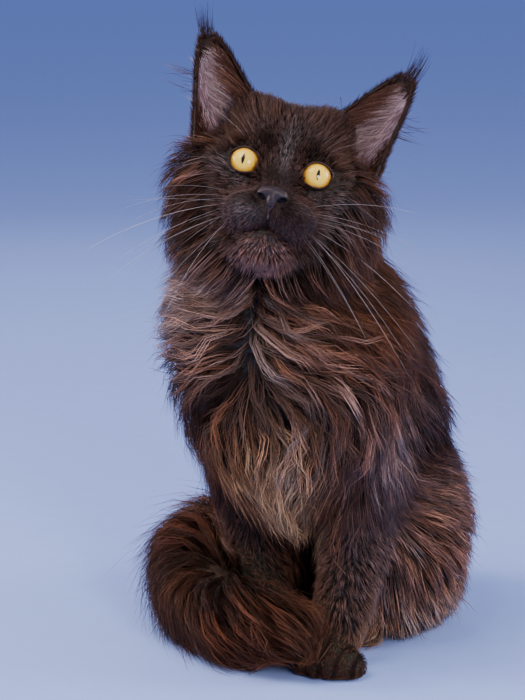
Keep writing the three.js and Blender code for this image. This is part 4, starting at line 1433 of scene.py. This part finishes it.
def nose_distance(p):
    q, whole = into_head(p), nose_whole(p)
    folded = np.concatenate([np.abs(q[:, :1]), q[:, 1:]], axis=1)
    hole = blended(1, [distance(form, folded) for form in nostril_forms(1)])
    slit = np.minimum(*[distance(form, q) for form in CLEFT_FORMS])
    return carved(1.2, carved(1.2, whole, hole), slit)


# %% Nose melted, cut and moved onto its distance
def melted(name, forms, voxel, cutter=None):
    bm = bmesh.new()
    for form in forms:
        add_form(bm, form, in_row @ head_place)
    piece = new_object(name, bm)
    add_melt(piece, voxel)
    if cutter:
        cut = piece.modifiers.new("cut", "BOOLEAN")
        cut.operation = "DIFFERENCE"
        cut.solver = "EXACT"
        cut.object = cutter
        add_melt(piece, voxel)
    apply_modifiers(piece)
    return piece


NOSE_VOXEL, NOSE_ROUNDS, LONGEST_MOVE = 0.4, 5, 1.2
nostrils = melted("nostril_holes", nostril_forms(-1) + nostril_forms(1), NOSE_VOXEL)
nose = melted("nose_leather_pad", NOSE_FORMS, NOSE_VOXEL, nostrils)
bpy.data.objects.remove(nostrils)
nose_points = vertices_of(nose.data) / MM - ORIGIN
for _ in range(NOSE_ROUNDS):
    move = 0.8 * np.clip(nose_distance(nose_points), -LONGEST_MOVE, LONGEST_MOVE)
    nose_points -= move[:, None] * outward(nose_distance, nose_points, 0.2)
move_vertices(nose.data, to_row(nose_points))
shade_smooth(nose.data)
print("nose:", len(nose.data.polygons), "faces")

# %% Painted shade in the nostrils and under their wings, and a lighter edge down the cleft
LEATHER_SHADE = np.ones(3)
NOSTRIL_SHADE = np.array([0.02, 0.01, 0.01])
CLEFT_LIGHTER = np.array([0.6, 0.4, 0.4])
nose_at = into_head(nose_points)
# painted shade: the leather is painted near black under the nostrils' wings, as well as inside the holes
under = smooth(-nose_at[:, 2], 27.8, 29.4) * smooth(np.abs(nose_at[:, 0]), 3.4, 4.6)
sunk = np.maximum(smooth(-nose_whole(nose_points), 0.1, 0.7), under)[:, None]
lip = smooth(-nose_at[:, 2:], 33, 39) * (1 - sunk)
keep_colour(nose.data, "nostril_shade", mix(LEATHER_SHADE, NOSTRIL_SHADE, sunk) * (1 + lip * CLEFT_LIGHTER))

# %% [markdown]
# ## Whiskers
#
# Whiskers are stiff, smooth and pale, four rows of them from the pads, with a few over the eyes. Each is a
# long tapered blade that leaves the pad sideways and sags a little towards its end.

# %% Whiskers
WHISKER_ROOTS = [  # aside, ahead and up in the head's frame, then length
    (17, -31, -32, 78), (21, -27, -33, 96), (25, -22, -34, 88),
    (16, -32, -36, 92), (20, -29, -37, 118), (24, -24, -38, 112), (27, -18, -39, 84),
    (18, -30, -41, 108), (22, -27, -42, 124), (26, -21, -43, 96),
    (19, -28, -46, 84), (23, -24, -47, 76),
]
WHISKER_ROOM = {-1: -158.0, 1: 108.0}  # how far the model's box lets them reach, aside
WHISKER_WIDTH, BROW_WHISKER_WIDTH, BROW_WHISKERS = 0.23, 0.15, 3
WHISKER_RINGS = 7
whisker_parts = []


def add_whisker(root, way, length, bow):
    out = np.array([[0, -1.0, 0.3]])
    one = bent_hairs(root[None], way[None], out, np.array([length]), bow[None], WHISKER_RINGS)
    whisker_parts.append(one)


for side in (-1, 1):
    for aside, ahead, up, length in WHISKER_ROOTS:
        root_at = on_head([side * (aside + 4.5), ahead + 3, up])
        root_at = root_at - outward(skin_distance, root_at[None])[0] * skin_distance(root_at[None])[0]
        down = -(up + 32) / 15  # nothing in the top row, nearly one in the lowest
        if side < 0:
            way, bow = np.array([-1.0, -0.1, 0.1 - 0.6 * down - 0.35 * down**2]), np.array([0, 0.16, -0.22])
        else:
            way, bow = np.array([0.62, 0.6, 0.05 - 0.8 * down - 0.4 * down**2]), np.array([-0.05, 0.1, -0.26])
        way[1] += (0.08 if side < 0 else 0.1) * rng.normal()
        way[2] += 0.12 * rng.normal()
        bow[2] += 0.05 * rng.normal()
        full_length = length * (0.9 + 0.3 * rng.random())
        room = (WHISKER_ROOM[side] - root_at[0]) / (unit(way) + bow)[0]
        add_whisker(root_at, way, min(full_length, room), bow)
    for k in range(BROW_WHISKERS):
        root_at = on_head([side * (21 + 3 * k), -4 + k, 14 + k])
        way = head_way([side * (0.35 + 0.2 * k), -0.5, 1.0 - 0.2 * k])
        add_whisker(root_at, way, 22.0 + 4 * k, head_way([side * 0.3, 0.35, 0.0]))
path, outs = (np.concatenate(items) for items in zip(*whisker_parts))
colour = along_hair("#5d504b", "#c9bdb9", len(path), WHISKER_RINGS + 1, 0.2)
widths = np.repeat([WHISKER_WIDTH, BROW_WHISKER_WIDTH], [len(WHISKER_ROOTS), BROW_WHISKERS])
whiskers = hair_piece("whiskers", path, outs, np.tile(widths, 2), colour, spread_uv(len(path)))

# %% [markdown]
# ## Finishes
#
# One small function adds a node, sets it and links what goes into it. Everything below is built with it.
# A pattern's scale is worked out from the real size of what it shows.

# %% A node with its settings and links
def node(material, kind, settings=None, **inputs):
    """Adds a node. An input goes by its name, with _ for a space, or by its number after _."""
    made = material.node_tree.nodes.new(kind)
    for key, value in (settings or {}).items():
        setattr(made, key, value)
    for key, value in inputs.items():
        numbered = key[0] == "_" and key[1:].isdigit()
        socket = made.inputs[int(key[1:]) if numbered else key.replace("_", " ")]
        if isinstance(value, bpy.types.NodeSocket):
            material.node_tree.links.new(value, socket)
        else:
            socket.default_value = value
    return made


def new_material(name):
    material = bpy.data.materials.new(name)
    material.use_nodes = True
    material.node_tree.nodes.clear()
    return material


def finish_material(material, **inputs):
    shader = node(material, "ShaderNodeBsdfPrincipled", **inputs)
    output = node(material, "ShaderNodeOutputMaterial")
    material.node_tree.links.new(shader.outputs["BSDF"], output.inputs["Surface"])
    return material


def rgba(code):
    return (*paint(code), 1.0)


def scale_of(size):
    """A pattern's scale from the size in millimetres of what it shows."""
    return 1 / (size * MM)


def uneven_colour(material, attribute, pattern, low, high, dim, bright):
    """The colour that is kept on the mesh, dimmed and brightened by a pattern."""
    colour = node(material, "ShaderNodeAttribute", {"attribute_name": attribute})
    tone = node(material, "ShaderNodeMapRange", Value=pattern, _1=low, _2=high, _3=dim, _4=bright)
    uneven = node(
        material, "ShaderNodeVectorMath", {"operation": "SCALE"},
        _0=colour.outputs["Color"], Scale=tone.outputs["Result"],
    )
    return uneven.outputs["Vector"]


# %% [markdown]
# **Hair** is a smooth, slightly waxy fibre. It shines in a soft band rather than in points, so its
# roughness is middling, and each fibre differs a little, which a fine noise along it shows.

# %% Hair
HAIR_STREAK = 1.1111  # millimetres, coarser than a real hair's so that it shows in the render
HAIR_TINT = "#e4bda9"


def hair_material(name, roughness, shine):
    material = new_material(name)
    place = node(material, "ShaderNodeTexCoord").outputs["Object"]
    streak = node(material, "ShaderNodeTexNoise", Vector=place, Scale=scale_of(HAIR_STREAK), Detail=2.0)
    fac = streak.outputs["Fac"]
    gloss = node(material, "ShaderNodeMapRange", Value=fac, _3=roughness - 0.08, _4=roughness + 0.08)
    return finish_material(
        material, Base_Color=uneven_colour(material, "hair_colour", fac, 0.3, 0.7, 0.8, 1.2),
        Roughness=gloss.outputs["Result"], IOR=1.5, Specular_IOR_Level=shine, Specular_Tint=rgba(HAIR_TINT),
    )


guard_hair = hair_material("long_guard_hair", 0.42, 0.28)
short_hair = hair_material("short_face_hair", 0.5, 0.2)
whisker_hair = hair_material("whisker_bristle", 0.3, 0.5)

# %% [markdown]
# **Skin and undercoat** only show in gaps of the fur, where they are dark and dull. The wool is in small
# tufts a few millimetres across, with the same markings as the hair over it.

# %% Skin and undercoat
WOOL_TUFT, WOOL_RELIEF = 2.381, 2 * MM  # a tuft's width in millimetres, and how deep the gaps look
skin_material = new_material("dark_skin_and_undercoat")
place = node(skin_material, "ShaderNodeTexCoord").outputs["Object"]
wisps = node(
    skin_material, "ShaderNodeTexNoise", Vector=place, Scale=scale_of(WOOL_TUFT), Detail=6.0, Distortion=1.5,
).outputs["Fac"]
relief = node(skin_material, "ShaderNodeBump", Height=wisps, Strength=0.8, Distance=WOOL_RELIEF)
finish_material(
    skin_material, Base_Color=uneven_colour(skin_material, "hair_colour", wisps, 0.35, 0.65, 0.35, 1.5),
    Roughness=0.85, Specular_IOR_Level=0.2, Normal=relief.outputs["Normal"],
)

# %% [markdown]
# **Ear leather** is thin, mauve-brown and faintly veined, and light comes through it a little.

# %% Ears
VEIN_GAP, SKIN_GRAIN = 6.25, 0.8333  # millimetres
ear_material = new_material("ear_leather")
place = node(ear_material, "ShaderNodeTexCoord").outputs["Object"]
veins = node(
    ear_material, "ShaderNodeTexNoise", Vector=place, Scale=scale_of(VEIN_GAP), Detail=4.0, Distortion=1.2,
).outputs["Fac"]
grain = node(ear_material, "ShaderNodeTexNoise", Vector=place, Scale=scale_of(SKIN_GRAIN)).outputs["Fac"]
relief = node(ear_material, "ShaderNodeBump", Height=grain, Strength=0.3, Distance=0.3 * MM)
finish_material(
    ear_material, Base_Color=uneven_colour(ear_material, "ear_colour", veins, 0.3, 0.7, 0.75, 1.2),
    Roughness=0.52, Normal=relief.outputs["Normal"], Specular_IOR_Level=0.25,
    Subsurface_Weight=0.25, Subsurface_Scale=2 * MM,
)

# %% [markdown]
# **The iris** is yellow-gold: palest round the pupil, amber towards its edge, with fine spokes. A dark ring
# closes it, and the pupil is a narrow upright slit. Over it all lies the wet cornea, as the shader's coat.

# %% Rings and spokes round the eye's own centre
IRIS_SPOKES = (9.0, 9.0, 0.22)  # how fast the pattern changes round the iris, and out from its middle
eye_material = new_material("yellow_iris_under_cornea")
place = node(eye_material, "ShaderNodeAttribute", {"attribute_name": "eye_place"}).outputs["Vector"]
flat = node(eye_material, "ShaderNodeVectorMath", {"operation": "MULTIPLY"}, _0=place, _1=(1, 0, 1))
radius = node(eye_material, "ShaderNodeVectorMath", {"operation": "LENGTH"}, _0=flat.outputs["Vector"])
turned = node(eye_material, "ShaderNodeVectorMath", {"operation": "NORMALIZE"}, _0=flat.outputs["Vector"])
axes = node(eye_material, "ShaderNodeSeparateXYZ", Vector=turned.outputs["Vector"])
round_and_along = node(
    eye_material, "ShaderNodeCombineXYZ", X=axes.outputs["X"], Y=axes.outputs["Z"], Z=radius.outputs["Value"],
)
spokes_at = node(
    eye_material, "ShaderNodeVectorMath", {"operation": "MULTIPLY"},
    _0=round_and_along.outputs["Vector"], _1=IRIS_SPOKES,
)
spokes = node(
    eye_material, "ShaderNodeTexNoise",
    Vector=spokes_at.outputs["Vector"], Scale=2.6, Detail=6.0, Roughness=0.7,
).outputs["Fac"]

# %% Colours of the iris, from the pupil to its dark ring
IRIS_FRAY, IRIS_RING = 4.0, 12.0  # how far spokes fray the rings, and the radius where the ramp ends
frayed = node(
    eye_material, "ShaderNodeMath", {"operation": "MULTIPLY_ADD"},
    _0=spokes, _1=IRIS_FRAY, _2=radius.outputs["Value"],
)
rings = node(
    eye_material, "ShaderNodeMapRange",
    Value=frayed.outputs["Value"], _1=IRIS_FRAY / 2, _2=IRIS_FRAY / 2 + IRIS_RING, _3=0.0, _4=1.0,
)
ramp = node(eye_material, "ShaderNodeValToRGB", Fac=rings.outputs["Result"])
IRIS_STOPS = [
    (0.0, "#b98f2a"), (0.14, "#f8d048"), (0.48, "#ffd646"), (0.66, "#eab030"),
    (0.77, "#ac7014"), (0.83, "#4a2809"), (0.9, "#0e0705"),
]
elements = ramp.color_ramp.elements
for element, (position, code) in zip(elements, (IRIS_STOPS[0], IRIS_STOPS[-1])):
    element.position = position
    element.color = rgba(code)
for position, code in IRIS_STOPS[1:-1]:
    elements.new(position).color = rgba(code)

# %% The slit of the pupil, and the cornea over it all
PUPIL = (1.25, 1.0, 4.2)  # half its width, its depth, which plays no part, and half its height
sized = node(eye_material, "ShaderNodeVectorMath", {"operation": "DIVIDE"}, _0=place, _1=PUPIL)
mirrored = node(eye_material, "ShaderNodeVectorMath", {"operation": "ABSOLUTE"}, _0=sized.outputs["Vector"])
axes = node(eye_material, "ShaderNodeSeparateXYZ", Vector=mirrored.outputs["Vector"])
slit = node(
    eye_material, "ShaderNodeMath", {"operation": "MULTIPLY_ADD"},
    _0=axes.outputs["Z"], _1=axes.outputs["Z"], _2=axes.outputs["X"],
)
pupil = node(
    eye_material, "ShaderNodeMapRange", Value=slit.outputs["Value"], _1=0.92, _2=1.06, _3=1.0, _4=0.0,
)
shown = node(
    eye_material, "ShaderNodeMix", {"data_type": "RGBA"},
    Factor=pupil.outputs["Result"], _6=ramp.outputs["Color"], _7=rgba("#050303"),
)
fibres = node(eye_material, "ShaderNodeBump", Height=spokes, Strength=0.35, Distance=0.6 * MM)
finish_material(
    eye_material, Base_Color=shown.outputs[2], Roughness=0.5, Specular_IOR_Level=0.15,
    Normal=fibres.outputs["Normal"], Coat_Weight=1.0, Coat_Roughness=0.03, Coat_IOR=1.376,
)

# %% [markdown]
# **Lids** are dark, bare and moist at the rim, a little pink-brown where the skin is thin.

# %% Lids
LID_MOTTLE = 2.381  # millimetres
lid_material = new_material("moist_lid_rim")
place = node(lid_material, "ShaderNodeTexCoord").outputs["Object"]
mottle = node(
    lid_material, "ShaderNodeTexNoise", Vector=place, Scale=scale_of(LID_MOTTLE), Detail=4.0,
).outputs["Fac"]
tone = node(
    lid_material, "ShaderNodeMix", {"data_type": "RGBA"},
    Factor=mottle, _6=rgba("#120908"), _7=rgba("#3a231e"),
)
relief = node(lid_material, "ShaderNodeBump", Height=mottle, Strength=0.3, Distance=0.4 * MM)
finish_material(
    lid_material, Base_Color=tone.outputs[2], Roughness=0.45, Specular_IOR_Level=0.35,
    Normal=relief.outputs["Normal"],
)

# %% [markdown]
# **Nose leather** is black and pebbled, with pebbles a little over half a millimetre across, and slightly
# moist, so that light from above catches its top as a grey band.

# %% Nose leather
PEBBLE, NOSE_MOTTLE = 2 / 3, 10 / 3  # millimetres
nose_material = new_material("pebbled_nose_leather")
place = node(nose_material, "ShaderNodeTexCoord").outputs["Object"]
pebbles = node(
    nose_material, "ShaderNodeTexVoronoi", {"feature": "SMOOTH_F1"}, Vector=place, Scale=scale_of(PEBBLE),
)
mottle = node(nose_material, "ShaderNodeTexNoise", Vector=place, Scale=scale_of(NOSE_MOTTLE), Detail=4.0)
tone = node(
    nose_material, "ShaderNodeMix", {"data_type": "RGBA"},
    Factor=mottle.outputs["Fac"], _6=rgba("#1c1517"), _7=rgba("#3b3033"),
)
relief = node(
    nose_material, "ShaderNodeBump", {"invert": True},
    Height=pebbles.outputs["Distance"], Strength=0.3, Distance=0.3 * MM,
)
deep = node(nose_material, "ShaderNodeAttribute", {"attribute_name": "nostril_shade"})
shaded = node(
    nose_material, "ShaderNodeVectorMath", {"operation": "MULTIPLY"},
    _0=tone.outputs[2], _1=deep.outputs["Color"],
)
finish_material(
    nose_material, Base_Color=shaded.outputs["Vector"], Roughness=0.48, Specular_IOR_Level=0.4,
    Specular_Tint=rgba("#d8cdd6"), Normal=relief.outputs["Normal"],
)

# %% Finishes put on, and every piece tied to the frame
SHORT_PIECES = ("fur_muzzle", "fur_brow", "fur_paws", "fur_ears")
for piece in coat_pieces:
    piece.data.materials.append(short_hair if piece.name in SHORT_PIECES else guard_hair)
whiskers.data.materials.append(whisker_hair)
skin.data.materials.append(skin_material)
nose.data.materials.append(nose_material)
for piece, material in [(ears, ear_material), (eyes, eye_material), (lids, lid_material)]:
    for one in piece:
        one.data.materials.append(material)

for piece in [skin, nose, whiskers, *ears, *eyes, *lids, *coat_pieces]:
    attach(piece, "root")
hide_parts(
    "head", "neck", "chest", "torso", "haunch_right", "haunch_left", "foreleg_right", "foreleg_left",
    "forepaw_right", "forepaw_left", "hindpaw_right", "hindpaw_left",
    "tail_base", "tail_middle", "tail_bend", "tail_tip",
)
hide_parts("nose")
for one, solid in zip([*ears, *eyes], ("ear_right", "ear_left", "eye_right", "eye_left")):
    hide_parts(solid)

# %% [markdown]
# ## Studio
#
# A plain pale floor and soft round lights: one before the cat on either side, one above, and two weaker
# ones behind that draw the edge of the coat out of the background. The camera stands where the photo was
# taken from, about 1.8 m away, and looks down a little.

# %% Floor
FLOOR_SIZE = 24  # metres to each side
PAPER_FIBRE = 50 / 3  # millimetres
floor_mesh = bmesh.new()
bmesh.ops.create_grid(floor_mesh, x_segments=2, y_segments=2, size=FLOOR_SIZE)
floor = new_object("floor", floor_mesh)
floor_material = new_material("pale_paper_floor")
place = node(floor_material, "ShaderNodeTexCoord").outputs["Object"]
fibre = node(floor_material, "ShaderNodeTexNoise", Vector=place, Scale=scale_of(PAPER_FIBRE), Detail=6.0)
tone = node(
    floor_material, "ShaderNodeMix", {"data_type": "RGBA"},
    Factor=fibre.outputs["Fac"], _6=rgba("#94abf2"), _7=rgba("#9db4f8"),
)
finish_material(floor_material, Base_Color=tone.outputs[2], Roughness=0.85)
floor.data.materials.append(floor_material)

# %% Light
world = bpy.data.worlds.new("pale_studio")
world.use_nodes = True
background = world.node_tree.nodes["Background"]
background.inputs["Color"].default_value = rgba("#b3c3f2")
background.inputs["Strength"].default_value = 0.6
bpy.context.scene.world = world


def soft_light(name, at, aim_height, size, watts, tint):
    data = bpy.data.lights.new(name, "AREA")
    data.shape = "DISK"
    data.size = size
    data.energy = watts
    data.color = tuple(paint(tint))
    light = bpy.data.objects.new(name, data)
    light.location = at
    light.rotation_euler = (Vector((0, 0, aim_height)) - Vector(at)).to_track_quat("-Z", "Y").to_euler()
    bpy.context.scene.collection.objects.link(light)


LIGHTS = [  # name, where, the height it looks at, and its width, in metres, then watts and tint
    ("key", (1.35, -1.25, 0.85), 0.27, 0.6, 30, "#fff3ea"),
    ("top", (-0.3, -0.9, 1.8), 0.27, 1.0, 22, "#fff6f0"),
    ("side_left", (-1.55, -0.6, 0.85), 0.25, 0.8, 32, "#fff3ea"),
    ("side_right", (1.5, 0.8, 0.8), 0.25, 0.8, 20, "#ffffff"),
    ("edge_left", (-1.0, 1.4, 0.9), 0.25, 0.7, 3, "#ffffff"),
]
for row in LIGHTS:
    soft_light(*row)

# %% Camera
CAMERA_AT = (829.5, -1591.9, 620)
LOOKS_DOWN, LOOKS_ROUND = 12.15, 28  # degrees
camera_data = bpy.data.cameras.new("camera")
camera_data.lens = 131.4
camera_data.sensor_width = 36
camera_data.clip_end = 50
camera = bpy.data.objects.new("camera", camera_data)
camera.location = to_row(CAMERA_AT)
camera.rotation_euler = (math.radians(90 - LOOKS_DOWN), 0, math.radians(LOOKS_ROUND))
bpy.context.scene.collection.objects.link(camera)
bpy.context.scene.camera = camera
